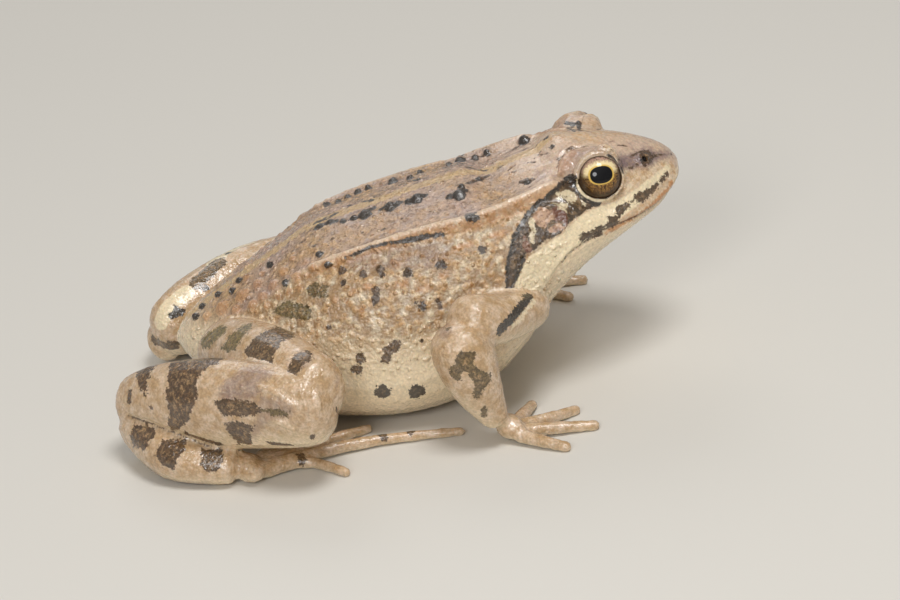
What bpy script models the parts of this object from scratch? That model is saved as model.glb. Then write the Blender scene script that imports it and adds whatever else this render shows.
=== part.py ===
"""A Caucasus frog at life size, sitting with its legs folded, head to +X, belly and feet on the floor.

Every size is in millimetres until it reaches a mesh, where MM turns it into metres. The trunk and head are
one loft along a straight axis, bent up and to the frog's left at the neck. The limbs are tubes between named
joints. Where two pieces meet, the later one is cut by a copy of its neighbour that is larger by a thin gap.
"""

import math

import bmesh
import bpy
import numpy as np
from mathutils import Matrix, Vector

MM = 0.001
GAP = 0.3
SPLIT_ANGLE = math.radians(50)

# Trunk and head along the straight axis: s is the distance forward of the vent, z the height over the floor.
NECK_START = 33.0
NECK_END = 47.0
HEAD_PITCH = math.radians(18.0)
HEAD_YAW = math.radians(8.5)
AXIS_HEIGHT = 16.2
SNOUT_TIP = 65.5
RUMP_TIP = -1.5
TRUNK_CENTRE = (20, 0, 12)
NECK_CUT = 43.0

HALF_WIDTH = [(-1.5, 0), (0, 3.2), (3, 6.2), (7, 9.5), (12, 13), (18, 15.8), (26, 17.2), (33, 16.4),
              (38, 14.8), (42, 13.5), (44.5, 12.9), (48.5, 12.1), (52.5, 10.9), (56.5, 9.2),
              (59.5, 7.3), (62, 5.2), (64, 3.2), (65, 1.8), (65.5, 0)]
WIDEST_HEIGHT = [(-1.5, 9.5), (3, 9), (12, 8.5), (26, 8.5), (36, 10), (41, 13.5), (44.5, 15.8),
                 (50, 16.8), (54.5, 16.2), (58.5, 15.3), (62.3, 15), (65.5, 16)]
TOP = [(-1.5, 9.6), (0, 11.8), (3, 14), (7, 16.4), (12, 19.3), (17.5, 22.2), (26, 24.4), (34, 26.2),
       (39, 26.8), (44.5, 27.0), (48.6, 26.9), (52.7, 26.3), (56, 25.0), (59.5, 23.0), (62.3, 20.9),
       (64.2, 19.0), (65.1, 17.5), (65.5, 16.1)]
BOTTOM = [(-1.5, 9.4), (0, 7.2), (3, 4.6), (7, 2.2), (12, 0.3), (17, -0.4), (26, -0.6), (32, -0.4),
          (36, 0.8), (40, 4.4), (44.5, 9.2), (50.5, 11.2), (56.5, 12.2), (60.5, 12.6), (63.2, 13.4),
          (64.6, 14.4), (65.5, 15.9)]
TOP_POWER = [(-1.5, 2.0), (12, 2.1), (26, 2.3), (40, 2.3), (48, 2.0), (54, 1.8), (60, 1.85),
             (65.5, 2.0)]
BOTTOM_POWER = [(-1.5, 2.0), (12, 2.3), (26, 2.7), (40, 2.3), (65.5, 2.0)]

# The mouth, from behind its corner to the tip of the snout. The lower jaw is narrower than the upper lip.
MOUTH = [(40, 13.0), (44.5, 15.0), (46, 15.9), (49, 16.8), (52, 16.8), (55, 16.1), (58.5, 15.0),
         (61, 14.4), (63, 14.3), (67, 14.8)]
LIP = 0.25

# The skin fold along each side of the back.
FOLD_OFFSET = [(-1.5, 1.0), (6, 5.6), (14, 8.0), (26, 9.2), (40, 9.0), (47, 8.4), (52, 7.2),
               (65.5, 1.5)]
FOLD_HEIGHT = [(-1.5, 0), (8, 0), (14, 0.5), (22, 0.85), (44, 0.85), (50, 0.6), (53, 0), (65.5, 0)]
FOLD_SPREAD = math.radians(5)
BACK_STEPS = 4
FLANK_STEPS = 12

EYE_RADIUS = 3.05
EYE = Vector((55.5, 6.4, 21.7))
EYE_FACING = Vector((0.1, 0.94, 0.32)).normalized()
ORBIT = Vector((55.7, 5.7, 21.8))
ORBIT_SIZE = (3.6, 3.35, 3.6)
OPENING_START = 1.2
OPENING_LENGTH = 6.0
OPENING_RADIUS = 2.65
OPENING_END_RADIUS = 4.4
LID_OFFSET = 1.85
LID_RADIUS = 2.97
LID_THICKNESS = 0.4
NOSTRIL = Vector((61.4, 3.35, 19.3))
NOSTRIL_RADIUS = 0.4
NOSTRIL_MOUND = (1.2, 0.9, 0.95)
NOSTRIL_INWARD = Vector((0, 0.7, 0.2))
TYMPANUM = Vector((48.0, 11.0, 21.3))
TYMPANUM_FACING = Vector((0.1, 1.0, 0.42)).normalized()
TYMPANUM_RADIUS = 1.9
TYMPANUM_DEPTH = 1.6

# Joints. y is negative on the frog's right. The left leg is folded lower and closer in than the right one.
ARMS = {
    "right": {"shoulder": (44.5, -9.5, 12.8), "elbow": (34.5, -20.3, 16.0), "wrist": (38.2, -21.5, 2.6)},
    "left": {"shoulder": (45.5, 9.5, 12.8), "elbow": (36.2, 20.2, 14.8), "wrist": (39.2, 21.5, 2.6)},
}
LEGS = {
    "right": {"hip": (4.2, -5.0, 9.6), "knee": (18.5, -27.6, 12.1), "heel": (-8.0, -10.6, 6.0),
              "instep": (-2.2, -20.4, 2.9), "foot": (6.2, -23.4, 2.1)},
    "left": {"hip": (4.8, 5.2, 8.8), "knee": (20.0, 24.2, 7.7), "heel": (-5.2, 9.6, 5.6),
             "instep": (-2.0, 18.6, 2.9), "foot": (6.2, 24.0, 2.1)},
}

LIMB_SIDES = 16
DIGIT_SIDES = 8

SKIN_TOP = (0.40, 0.31, 0.21)
SKIN_SIDE = (0.52, 0.42, 0.29)
SKIN_LIMB = (0.50, 0.38, 0.26)
SKIN_PALE = (0.62, 0.53, 0.38)
EYE_GOLD = (0.35, 0.24, 0.06)
EAR_BROWN = (0.22, 0.13, 0.08)
MOIST = 0.42
GLOSSY = 0.1


def along(keys, at):
    """A smooth curve through (place, value) pairs that never swings past them."""
    places = np.array([k[0] for k in keys], float)
    values = np.array([k[1] for k in keys], float)
    steps = np.diff(places)
    slopes = np.diff(values) / steps
    tangents = np.zeros(len(keys))
    tangents[0] = slopes[0]
    tangents[-1] = slopes[-1]
    for i in range(1, len(keys) - 1):
        if slopes[i - 1] * slopes[i] > 0:
            before = 2 * steps[i] + steps[i - 1]
            after = steps[i] + 2 * steps[i - 1]
            tangents[i] = (before + after) / (before / slopes[i - 1] + after / slopes[i])
    i = int(np.clip(np.searchsorted(places, at) - 1, 0, len(steps) - 1))
    t = float(np.clip((at - places[i]) / steps[i], 0, 1))
    first = (1 + 2 * t) * (1 - t) ** 2 * values[i] + t * (1 - t) ** 2 * steps[i] * tangents[i]
    second = t * t * (3 - 2 * t) * values[i + 1] + t * t * (t - 1) * steps[i] * tangents[i + 1]
    return float(first + second)


def mesh_object(name, points, faces):
    """A closed mesh from points in millimetres, with its faces turned outwards."""
    mesh = bpy.data.meshes.new(name)
    mesh.from_pydata([Vector(p) * MM for p in points], [], faces)
    work = bmesh.new()
    work.from_mesh(mesh)
    bmesh.ops.remove_doubles(work, verts=work.verts, dist=1e-7)
    bmesh.ops.recalc_face_normals(work, faces=work.faces)
    work.to_mesh(mesh)
    work.free()
    made = bpy.data.objects.new(name, mesh)
    bpy.context.scene.collection.objects.link(made)
    return made


def skin_rings(name, rings, first_tip=None, last_tip=None):
    """Joins rings of points into one closed surface. An end has a point at its tip, or else a flat face."""
    count = len(rings[0])
    points = [p for ring in rings for p in ring]
    faces = []
    for r in range(len(rings) - 1):
        for k in range(count):
            a = r * count + k
            b = r * count + (k + 1) % count
            faces.append((a, b, b + count, a + count))
    for tip, ring in ((first_tip, 0), (last_tip, len(rings) - 1)):
        edge = [ring * count + k for k in range(count)]
        if tip is None:
            faces.append(tuple(edge))
            continue
        points.append(tip)
        last = len(points) - 1
        for k in range(count):
            faces.append((edge[k], edge[(k + 1) % count], last))
    return mesh_object(name, points, faces)


def neck_bend(point):
    """Moves a point of the straight design to its place on the frog, whose head is raised and turned."""
    s = point[0]
    steps = 24
    origin = Vector((min(s, NECK_START), 0, AXIS_HEIGHT))
    reach = min(max(s - NECK_START, 0), NECK_END - NECK_START)

    def turn(t):
        eased = t * t * (3 - 2 * t)
        return HEAD_PITCH * eased, HEAD_YAW * eased

    def direction(pitch, yaw):
        return Vector((math.cos(pitch) * math.cos(yaw), math.cos(pitch) * math.sin(yaw), math.sin(pitch)))

    for i in range(steps):
        middle = (i + 0.5) / steps * reach / (NECK_END - NECK_START)
        origin += direction(*turn(middle)) * (reach / steps)
    pitch, yaw = turn(reach / (NECK_END - NECK_START))
    forward = direction(pitch, yaw)
    origin += forward * max(s - NECK_END, 0)
    left = Vector((-math.sin(yaw), math.cos(yaw), 0))
    up = forward.cross(left)
    return origin + left * point[1] + up * (point[2] - AXIS_HEIGHT)


def bend(obj):
    for vertex in obj.data.vertices:
        vertex.co = neck_bend(vertex.co / MM) * MM


def body_ring(s, grow=0.0):
    """One upright section of the trunk or head, from the middle of the back round by the left side."""
    width = along(HALF_WIDTH, s) + grow
    middle = along(WIDEST_HEIGHT, s)
    rise = along(TOP, s) + grow - middle
    drop = middle - along(BOTTOM, s) + grow
    top_power = along(TOP_POWER, s)
    bottom_power = along(BOTTOM_POWER, s)
    share = min(along(FOLD_OFFSET, s) / max(width, 0.5), 0.8)
    fold_angle = math.acos(share ** (top_power / 2))
    angles = [math.pi / 2 + (fold_angle - math.pi / 2) * k / BACK_STEPS for k in range(BACK_STEPS)]
    angles[-1] = max(angles[-1], fold_angle + FOLD_SPREAD)
    angles.append(fold_angle)
    start = fold_angle - FOLD_SPREAD
    angles += [start - (start + math.pi / 2) * k / FLANK_STEPS for k in range(FLANK_STEPS + 1)]
    half = []
    for k, angle in enumerate(angles):
        c = max(math.cos(angle), 0.0)
        v = math.sin(angle)
        power = top_power if v > 0 else bottom_power
        reach = rise if v > 0 else drop
        y = width * c ** (2 / power)
        z = middle + reach * math.copysign(abs(v) ** (2 / power), v)
        if k == BACK_STEPS:
            height = along(FOLD_HEIGHT, s)
            y += height * math.cos(fold_angle) * 0.6
            z += height * 0.8
        half.append((s, y, max(z, -grow)))
    return half + [(x, -y, z) for x, y, z in half[-2:0:-1]]


def body_loft(name, start, end, tips, grow=0.0, count=30):
    """The trunk or head between two places on the axis, its stations closer together at a rounded tip."""
    shares = [i / (count - 1) for i in range(count)]
    if tips[0]:
        shares = [1 - math.cos(t * math.pi / 2) for t in shares]
    if tips[1]:
        shares = [math.sin(t * math.pi / 2) for t in shares]
    low = start - (grow if tips[0] else 0)
    high = end + (grow if tips[1] else 0)
    stations = [start + (end - start) * t for t in shares]
    first_tip = last_tip = None
    if tips[0]:
        first_tip = (low, 0, along(WIDEST_HEIGHT, start))
        stations = stations[1:]
    if tips[1]:
        last_tip = (high, 0, along(WIDEST_HEIGHT, end))
        stations = stations[:-1]
    rings = [body_ring(s, grow) for s in stations]
    return skin_rings(name, rings, first_tip, last_tip)


def curve_through(points, t):
    """A smooth path (Catmull and Rom's) through the points, with t from 0 to 1."""
    last = len(points) - 1
    place = min(max(t, 0.0), 1.0) * last
    i = min(int(place), last - 1)
    u = place - i
    a = points[max(i - 1, 0)]
    b = points[i]
    c = points[i + 1]
    d = points[min(i + 2, last)]
    square = 2 * a - 5 * b + 4 * c - d
    cube = 3 * b - a - 3 * c + d
    return 0.5 * (2 * b + (c - a) * u + square * u * u + cube * u ** 3)


def tube(name, path, sizes, wide_axis=Vector((0, 0, 1)), sides=LIMB_SIDES, rings=16, grow=0.0):
    """A limb along a path, with oval sections. sizes: (share of the length, half height, half thickness)."""
    path = [Vector(p) for p in path]
    heights = [(t, high) for t, high, thick in sizes]
    widths = [(t, thick) for t, high, thick in sizes]
    length = sum((path[i + 1] - path[i]).length for i in range(len(path) - 1))
    caps = []
    for end in (0, 1):
        radius = (along(heights, end) + along(widths, end)) / 2
        caps.append(min(radius / length, 0.45))
    made = []
    for i in range(1, rings):
        t = (1 - math.cos(math.pi * i / rings)) / 2
        closing = 1.0
        if t < caps[0]:
            closing = math.sqrt(max(1 - (1 - t / caps[0]) ** 2, 0.0))
        if t > 1 - caps[1]:
            closing = math.sqrt(max(1 - (1 - (1 - t) / caps[1]) ** 2, 0.0))
        high = along(heights, t) * closing + grow
        thick = along(widths, t) * closing + grow
        centre = curve_through(path, t)
        ahead = (curve_through(path, t + 0.02) - curve_through(path, t - 0.02)).normalized()
        side = ahead.cross(wide_axis).normalized()
        up = side.cross(ahead)
        ring = []
        for k in range(sides):
            angle = 2 * math.pi * k / sides
            p = centre + up * (math.cos(angle) * high) + side * (math.sin(angle) * thick)
            p.z = max(p.z, -grow)
            ring.append(p)
        made.append(ring)
    start = path[0] + (path[0] - curve_through(path, 0.02)).normalized() * grow
    end = path[-1] + (path[-1] - curve_through(path, 0.98)).normalized() * grow
    return skin_rings(name, made, start, end)


def ball(name, centre, radii, segments=24, rings=14):
    work = bmesh.new()
    bmesh.ops.create_uvsphere(work, u_segments=segments, v_segments=rings, radius=1.0)
    mesh = bpy.data.meshes.new(name)
    work.to_mesh(mesh)
    work.free()
    for vertex in mesh.vertices:
        vertex.co = Vector((vertex.co[i] * radii[i] + centre[i] for i in range(3))) * MM
    made = bpy.data.objects.new(name, mesh)
    bpy.context.scene.collection.objects.link(made)
    return made


def rod(name, start, facing, length, radius, end_radius=None, segments=24):
    """A straight cylinder from start along facing, or a cone where it ends in another radius."""
    work = bmesh.new()
    last = radius if end_radius is None else end_radius
    bmesh.ops.create_cone(work, cap_ends=True, segments=segments, radius1=radius * MM, radius2=last * MM,
                          depth=length * MM)
    turned = facing.to_track_quat("Z", "Y").to_matrix().to_4x4()
    middle = (start + facing * (length / 2)) * MM
    bmesh.ops.transform(work, matrix=Matrix.Translation(middle) @ turned, verts=work.verts)
    mesh = bpy.data.meshes.new(name)
    work.to_mesh(mesh)
    work.free()
    made = bpy.data.objects.new(name, mesh)
    bpy.context.scene.collection.objects.link(made)
    return made


def hoop(name, centre, facing, radius, thickness, segments=20, sides=6):
    """A closed ring round facing."""
    across = facing.cross(Vector((1, 0, 0))).normalized()
    upright = facing.cross(across)
    points = []
    for i in range(segments):
        a = 2 * math.pi * i / segments
        spoke = across * math.cos(a) + upright * math.sin(a)
        for k in range(sides):
            b = 2 * math.pi * k / sides
            reach = radius + thickness * math.cos(b)
            points.append(centre + spoke * reach + facing * (thickness * math.sin(b)))
    faces = []
    for i in range(segments):
        for k in range(sides):
            here = i * sides + k
            beside = i * sides + (k + 1) % sides
            after = (i + 1) % segments * sides
            faces.append((here, beside, after + (k + 1) % sides, after + k))
    return mesh_object(name, points, faces)


def mouth_cutter(name, lift, far_height):
    """A wide solid whose one face follows the line of the mouth, and the other lies at far_height."""
    wide = 40.0
    start = NECK_CUT - 2
    stations = [start + (SNOUT_TIP + 2 - start) * i / 16 for i in range(17)]
    edge = [(s, along(MOUTH, s) + lift) for s in stations]
    outline = edge + [(stations[-1], far_height), (stations[0], far_height)]
    count = len(outline)
    points = [(s, y, z) for y in (-wide, wide) for s, z in outline]
    faces = [tuple(range(count)), tuple(range(count, 2 * count))]
    for k in range(count):
        following = (k + 1) % count
        faces.append((k, following, following + count, k + count))
    return mesh_object(name, points, faces)


def combine(target, others, operation, solver="EXACT"):
    """Applies one Boolean of the target with all the other objects, and removes them."""
    group = bpy.data.collections.new("combine")
    for other in others:
        group.objects.link(other)
    step = target.modifiers.new("combine", "BOOLEAN")
    step.operation = operation
    step.solver = solver
    step.operand_type = "COLLECTION"
    step.collection = group
    graph = bpy.context.evaluated_depsgraph_get()
    result = bpy.data.meshes.new_from_object(target.evaluated_get(graph))
    target.modifiers.remove(step)
    target.data = result
    for other in others:
        bpy.data.objects.remove(other)
    bpy.data.collections.remove(group)


def enclosed_volume(faces):
    """Six times the volume that a closed surface of triangles encloses."""
    return abs(sum(f.verts[0].co.dot(f.verts[1].co.cross(f.verts[2].co)) for f in faces))


def keep_largest(obj):
    """Keeps only the largest closed surface, so that a node is one body."""
    work = bmesh.new()
    work.from_mesh(obj.data)
    bmesh.ops.dissolve_degenerate(work, dist=1e-6, edges=work.edges)
    bmesh.ops.triangulate(work, faces=work.faces)
    left = set(work.faces)
    bodies = []
    while left:
        front = [left.pop()]
        body = list(front)
        while front:
            face = front.pop()
            for edge in face.edges:
                for near in edge.link_faces:
                    if near in left:
                        left.remove(near)
                        front.append(near)
                        body.append(near)
        bodies.append(body)
    bodies.sort(key=enclosed_volume)
    loose = [face for body in bodies[:-1] for face in body]
    bmesh.ops.delete(work, geom=loose, context="FACES")
    stray = [v for v in work.verts if not v.link_faces]
    bmesh.ops.delete(work, geom=stray, context="VERTS")
    work.to_mesh(obj.data)
    work.free()


def finish_node(obj, colour, roughness, origin):
    """Gives a node its material, smooth shading and its own origin."""
    keep_largest(obj)
    material = bpy.data.materials.new(obj.name)
    material.use_nodes = True
    shader = material.node_tree.nodes["Principled BSDF"]
    shader.inputs["Base Color"].default_value = (*colour, 1)
    shader.inputs["Roughness"].default_value = roughness
    obj.data.materials.clear()
    obj.data.materials.append(material)
    obj.data.shade_smooth()
    obj.data.set_sharp_from_angle(angle=SPLIT_ANGLE)
    obj.data.transform(Matrix.Translation(-Vector(origin) * MM))
    obj.location = Vector(origin) * MM


def joints(limbs, side, *names):
    return [Vector(limbs[side][name]) for name in names]


def outward(side):
    return -1.0 if side == "right" else 1.0


# Trunk, head, jaw, eyes and ears.


def torso_solid(grow=0.0):
    solid = body_loft("torso", RUMP_TIP, NECK_CUT, (True, False), grow, count=30)
    bend(solid)
    return solid


def whole_body_solid(grow):
    """The trunk and head together, larger by grow: what the limbs are cut by."""
    shares = [1 - math.cos(math.pi * i / 40) for i in range(41)]
    stations = [RUMP_TIP + (SNOUT_TIP - RUMP_TIP) * t / 2 for t in shares][1:-1]
    rings = [body_ring(s, grow) for s in stations]
    first = (RUMP_TIP - grow, 0, along(WIDEST_HEIGHT, RUMP_TIP))
    last = (SNOUT_TIP + grow, 0, along(WIDEST_HEIGHT, SNOUT_TIP))
    solid = skin_rings("body_cutter", rings, first, last)
    bend(solid)
    return solid


def turned_out(direction, place):
    """A direction given for the left side, as it is on the side of the place."""
    return Vector((direction[0], math.copysign(direction[1], place[1]), direction[2]))


def both_sides(point):
    """A point of the left side, and its mirror image on the right."""
    return [("left", Vector(point)), ("right", Vector((point[0], -point[1], point[2])))]


def head_and_jaw():
    """The head loft, parted along the mouth, with orbits, lids, nostrils and ear recesses."""
    head = body_loft("head", NECK_CUT + GAP, SNOUT_TIP, (False, True), count=26)
    jaw = body_loft("lower_jaw", NECK_CUT + GAP, SNOUT_TIP - LIP, (False, True), -LIP, count=26)
    bumps = []
    openings = []
    for side, place in both_sides(EYE):
        facing = turned_out(EYE_FACING, place)
        bumps.append(hoop("lid", place + facing * LID_OFFSET, facing, LID_RADIUS, LID_THICKNESS))
        start = place + facing * OPENING_START
        openings.append(rod("opening", start, facing, OPENING_LENGTH, OPENING_RADIUS, OPENING_END_RADIUS))
        openings.append(ball("socket", place, [EYE_RADIUS + GAP] * 3, 20, 12))
    bumps += [ball("orbit", place, ORBIT_SIZE, 20, 12) for side, place in both_sides(ORBIT)]
    bumps += [ball("mound", place - turned_out(NOSTRIL_INWARD, place), NOSTRIL_MOUND, 12, 8)
              for side, place in both_sides(NOSTRIL)]
    openings += [ball("nostril", place, [NOSTRIL_RADIUS] * 3, 10, 8) for side, place in both_sides(NOSTRIL)]
    combine(head, bumps, "UNION")
    combine(head, openings + [mouth_cutter("under", 0, -40.0)], "DIFFERENCE")
    combine(jaw, [mouth_cutter("over", -GAP, 40.0)], "DIFFERENCE")
    return head, jaw


def eyes():
    return [ball("eye_" + side, place, [EYE_RADIUS] * 3, 18, 10) for side, place in both_sides(EYE)]


def tympana(grow=0.0):
    made = []
    for side, place in both_sides(TYMPANUM):
        facing = turned_out(TYMPANUM_FACING, place)
        start = place - facing * (TYMPANUM_DEPTH + grow)
        length = TYMPANUM_DEPTH + grow * 6
        made.append(rod("tympanum_" + side, start, facing, length, TYMPANUM_RADIUS + grow, segments=20))
    return made


# Limbs.


THIGH_SIZES = [(0, 3.6, 3.8), (0.25, 4.9, 4.7), (0.55, 5.5, 4.9), (0.85, 4.7, 4.0), (1, 4.0, 3.6)]
SHANK_SIZES = [(0, 4.2, 3.4), (0.2, 5.3, 4.0), (0.5, 5.8, 4.4), (0.75, 5.2, 4.1), (0.92, 3.8, 3.1),
               (1, 3.1, 2.8)]
TARSUS_SIZES = [(0, 3.1, 2.6), (0.3, 3.1, 2.5), (0.7, 2.5, 2.4), (1, 2.1, 2.5)]
UPPER_ARM_SIZES = [(0, 3.2, 3.2), (0.4, 3.1, 3.2), (0.8, 3.6, 3.6), (1, 3.8, 3.7)]
FOREARM_SIZES = [(0, 3.5, 3.5), (0.3, 3.9, 4.0), (0.6, 3.1, 3.4), (0.85, 1.9, 2.2), (1, 1.6, 2.0)]


def thigh(side, grow=0.0):
    hip, knee = joints(LEGS, side, "hip", "knee")
    middle = (hip + knee) / 2 + Vector((-0.6, -0.6 * outward(side), 0.4))
    return tube("thigh_" + side, [hip, middle, knee], THIGH_SIZES, grow=grow)


def shank(side, grow=0.0):
    knee, heel = joints(LEGS, side, "knee", "heel")
    out = outward(side)
    start = knee + Vector((0.3, 0.4 * out, -1.4))
    bow = (knee + heel) / 2 + Vector((-0.4, 1.0 * out, 0.3))
    return tube("shank_" + side, [start, bow, heel], SHANK_SIZES, grow=grow)


def tarsus(side, grow=0.0):
    heel, instep, root = joints(LEGS, side, "heel", "instep", "foot")
    start = heel + Vector((0.6, 0.6 * outward(side), -1.4))
    return tube("tarsus_" + side, [start, instep, root], TARSUS_SIZES, grow=grow)


def upper_arm(side, grow=0.0):
    shoulder, elbow = joints(ARMS, side, "shoulder", "elbow")
    middle = (shoulder + elbow) / 2 + Vector((0.4, 0.8 * outward(side), -0.4))
    return tube("upper_arm_" + side, [shoulder, middle, elbow], UPPER_ARM_SIZES, rings=13, grow=grow)


def forearm(side, grow=0.0):
    elbow, wrist = joints(ARMS, side, "elbow", "wrist")
    middle = (elbow + wrist) / 2 + Vector((-0.6, 0.6 * outward(side), 0))
    path = [elbow + Vector((-0.2, 0, 0.3)), middle, wrist]
    return tube("forearm_" + side, path, FOREARM_SIZES, wide_axis=Vector((1, 0, 0)), rings=13, grow=grow)


# Each digit's root, middle and tip, from the wrist or the end of the tarsus, innermost first: the distance
# forwards, then outwards.
FINGERS = [((2.0, -2.9), (3.2, -5.6), (4.3, -8.4)), ((3.0, -1.9), (6.4, -3.3), (9.8, -5.4)),
           ((3.2, -0.3), (7.6, -0.3), (12.0, -0.4)), ((2.6, 1.1), (5.2, 2.9), (8.2, 4.6))]
TOES = [((2.2, -3.2), (3.8, -6.6), (5.4, -9.6)), ((3.0, -3.0), (6.8, -7.0), (10.2, -10.8)),
        ((3.7, -2.3), (9.8, -6.2), (16.0, -9.2)), ((4.0, -1.2), (14.8, -4.8), (27.6, -5.2)),
        ((3.2, 0.0), (7.8, -1.6), (13.2, 2.2))]
DIGIT_HEIGHT = 0.5
FINGER_SIZES = [(0, 1.0, 1.0), (0.5, 0.75, 0.8), (0.85, 0.6, 0.66), (1, 0.62, 0.75)]
TOE_SIZES = [(0, 1.05, 1.05), (0.5, 0.75, 0.8), (0.9, 0.55, 0.56), (1, 0.5, 0.55)]
PALM_SIZES = [(0, 1.5, 1.8), (0.6, 1.5, 2.5), (1, 1.2, 2.4)]
SOLE_SIZES = [(0, 1.8, 2.3), (0.5, 1.6, 3.0), (1, 1.2, 2.8)]
PALM_SIDES = 14
PALM_RINGS = 10
ROOT_HEIGHT = 1.1
WEB_HEIGHT = 0.9
WEB_THICKNESS = 0.55
WEB_STEPS = 5
WEB_INSET = 0.06
WEB_HOLLOW = 0.45
WEB_REACH = [(0.85, 0.8), (0.85, 0.75), (0.75, 0.5), (0.5, 0.7)]


def digit_paths(digits, base, side):
    """The digits' paths, each a root, a middle and a tip, from offsets forwards and outwards of the base."""
    out = outward(side)
    paths = []
    for spots in digits:
        heights = (ROOT_HEIGHT, DIGIT_HEIGHT + 0.35, DIGIT_HEIGHT)
        paths.append([Vector((base.x + x, base.y + y * out, z)) for (x, y), z in zip(spots, heights)])
    return paths


def digit(name, path, sizes):
    inside = path[0] + (path[0] - path[1]).normalized() * 1.2
    return tube(name, [inside, *path[1:]], sizes, sides=DIGIT_SIDES, rings=9)


def web(name, near, far, reaches):
    """The skin between two toes' paths, out to the shares of them in reaches, with a hollow free edge."""
    upper = []
    for i in range(WEB_STEPS + 1):
        u = WEB_INSET + (1 - 2 * WEB_INSET) * i / WEB_STEPS
        hollow = 1 - WEB_HOLLOW * math.sin(math.pi * u)
        for v in (0.0, 0.33, 0.67, 1.0):
            a = curve_through(near, v * hollow * reaches[0])
            b = curve_through(far, v * hollow * reaches[1])
            p = a.lerp(b, u)
            upper.append(Vector((p.x, p.y, WEB_HEIGHT - 0.25 * v)))
    rows = 4
    lower = [p - Vector((0, 0, WEB_THICKNESS)) for p in upper]
    count = len(upper)
    faces = []
    for i in range(WEB_STEPS):
        for j in range(rows - 1):
            k = i * rows + j
            faces.append((k, k + 1, k + rows + 1, k + rows))
            faces.append((k + count, k + count + rows, k + count + rows + 1, k + count + 1))
    last = WEB_STEPS * rows
    edge = [i * rows for i in range(WEB_STEPS + 1)] + [last + j for j in range(1, rows)]
    edge += [i * rows + rows - 1 for i in range(WEB_STEPS - 1, -1, -1)] + [j for j in range(rows - 2, 0, -1)]
    for i, k in enumerate(edge):
        following = edge[(i + 1) % len(edge)]
        faces.append((k, following, following + count, k + count))
    return mesh_object(name, upper + lower, faces)


def hand(side):
    """The palm with its four fingers, fused into one body."""
    (wrist,) = joints(ARMS, side, "wrist")
    heart = Vector((wrist.x + 2.4, wrist.y - 1.2 * outward(side), 1.3))
    start = wrist + Vector((-0.2, 0, -0.4))
    path = [start, start.lerp(heart, 0.6), heart]
    palm = tube("hand_" + side, path, PALM_SIZES, rings=PALM_RINGS, sides=PALM_SIDES)
    paths = digit_paths(FINGERS, wrist, side)
    fingers = [digit(f"finger_{n}", path, FINGER_SIZES) for n, path in enumerate(paths)]
    combine(palm, fingers, "UNION", "MANIFOLD")
    return palm


def foot(side):
    """The sole with its five toes and the webs between them, fused into one body."""
    (root,) = joints(LEGS, side, "foot")
    out = outward(side)
    start = root + Vector((-0.6, 0, -0.2))
    heart = Vector((root.x + 2.8, root.y - 1.2 * out, 1.2))
    path = [start, start.lerp(heart, 0.5), heart]
    sole = tube("foot_" + side, path, SOLE_SIZES, rings=PALM_RINGS, sides=PALM_SIDES)
    paths = digit_paths(TOES, root, side)
    extras = [digit(f"toe_{n}", path, TOE_SIZES) for n, path in enumerate(paths)]
    extras += [web(f"web_{n}", paths[n], paths[n + 1], reaches) for n, reaches in enumerate(WEB_REACH)]
    combine(sole, extras, "UNION", "MANIFOLD")
    return sole


def main():
    for old in list(bpy.data.objects):
        bpy.data.objects.remove(old)

    nodes = []
    torso = torso_solid()
    nodes.append((torso, SKIN_SIDE, MOIST, TRUNK_CENTRE))

    head, jaw = head_and_jaw()
    combine(head, tympana(GAP), "DIFFERENCE")
    ears = tympana()
    balls = eyes()
    for piece in (head, jaw, *ears, *balls):
        bend(piece)
    neck = neck_bend((NECK_CUT, 0, AXIS_HEIGHT))
    nodes.append((head, SKIN_TOP, MOIST, neck))
    nodes.append((jaw, SKIN_PALE, MOIST, neck))
    for piece, (side, place) in zip(ears, both_sides(TYMPANUM)):
        nodes.append((piece, EAR_BROWN, MOIST, neck_bend(place)))
    for piece, (side, place) in zip(balls, both_sides(EYE)):
        nodes.append((piece, EYE_GOLD, GLOSSY, neck_bend(place)))

    for side in ("right", "left"):
        leg = LEGS[side]
        arm = ARMS[side]
        limbs = [
            (thigh(side), [], SKIN_LIMB, leg["hip"]),
            (shank(side), [thigh], SKIN_LIMB, leg["knee"]),
            (tarsus(side), [thigh, shank], SKIN_LIMB, leg["heel"]),
            (foot(side), [thigh, shank, tarsus], SKIN_PALE, leg["foot"]),
            (upper_arm(side), [], SKIN_LIMB, arm["shoulder"]),
            (forearm(side), [upper_arm], SKIN_LIMB, arm["elbow"]),
            (hand(side), [forearm], SKIN_PALE, arm["wrist"]),
        ]
        for piece, neighbours, colour, origin in limbs:
            cutters = [whole_body_solid(GAP)] + [neighbour(side, GAP) for neighbour in neighbours]
            combine(piece, cutters, "DIFFERENCE")
            nodes.append((piece, colour, MOIST, origin))

    for obj, colour, roughness, origin in nodes:
        finish_node(obj, colour, roughness, origin)
    centre_on_floor([obj for obj, *rest in nodes])


def centre_on_floor(objects):
    """Slides the frog so that the frame's origin is on the floor under the middle of its box."""
    corners = np.array([obj.location + v.co for obj in objects for v in obj.data.vertices])
    middle = (corners.min(axis=0) + corners.max(axis=0)) / 2
    for obj in objects:
        obj.location -= Vector((middle[0], middle[1], corners[:, 2].min()))


main()
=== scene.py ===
"""A Caucasus frog's moist skin and its eyes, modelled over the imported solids, on a plain floor.

Sizes are in millimetres until MM turns them into metres. A place on the trunk or head is given along the
solids' straight axis (forward of the vent, to the left, over the floor) and is then bent as the neck is.
A mark on the skin is placed by named pixels of the camera's view, where that pixel's ray meets the right
side of the frog, and its mirror image is laid on the left side.
"""

import math

import bpy
import numpy as np
from mathutils import Matrix, Vector, noise
from mathutils.bvhtree import BVHTree


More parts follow.
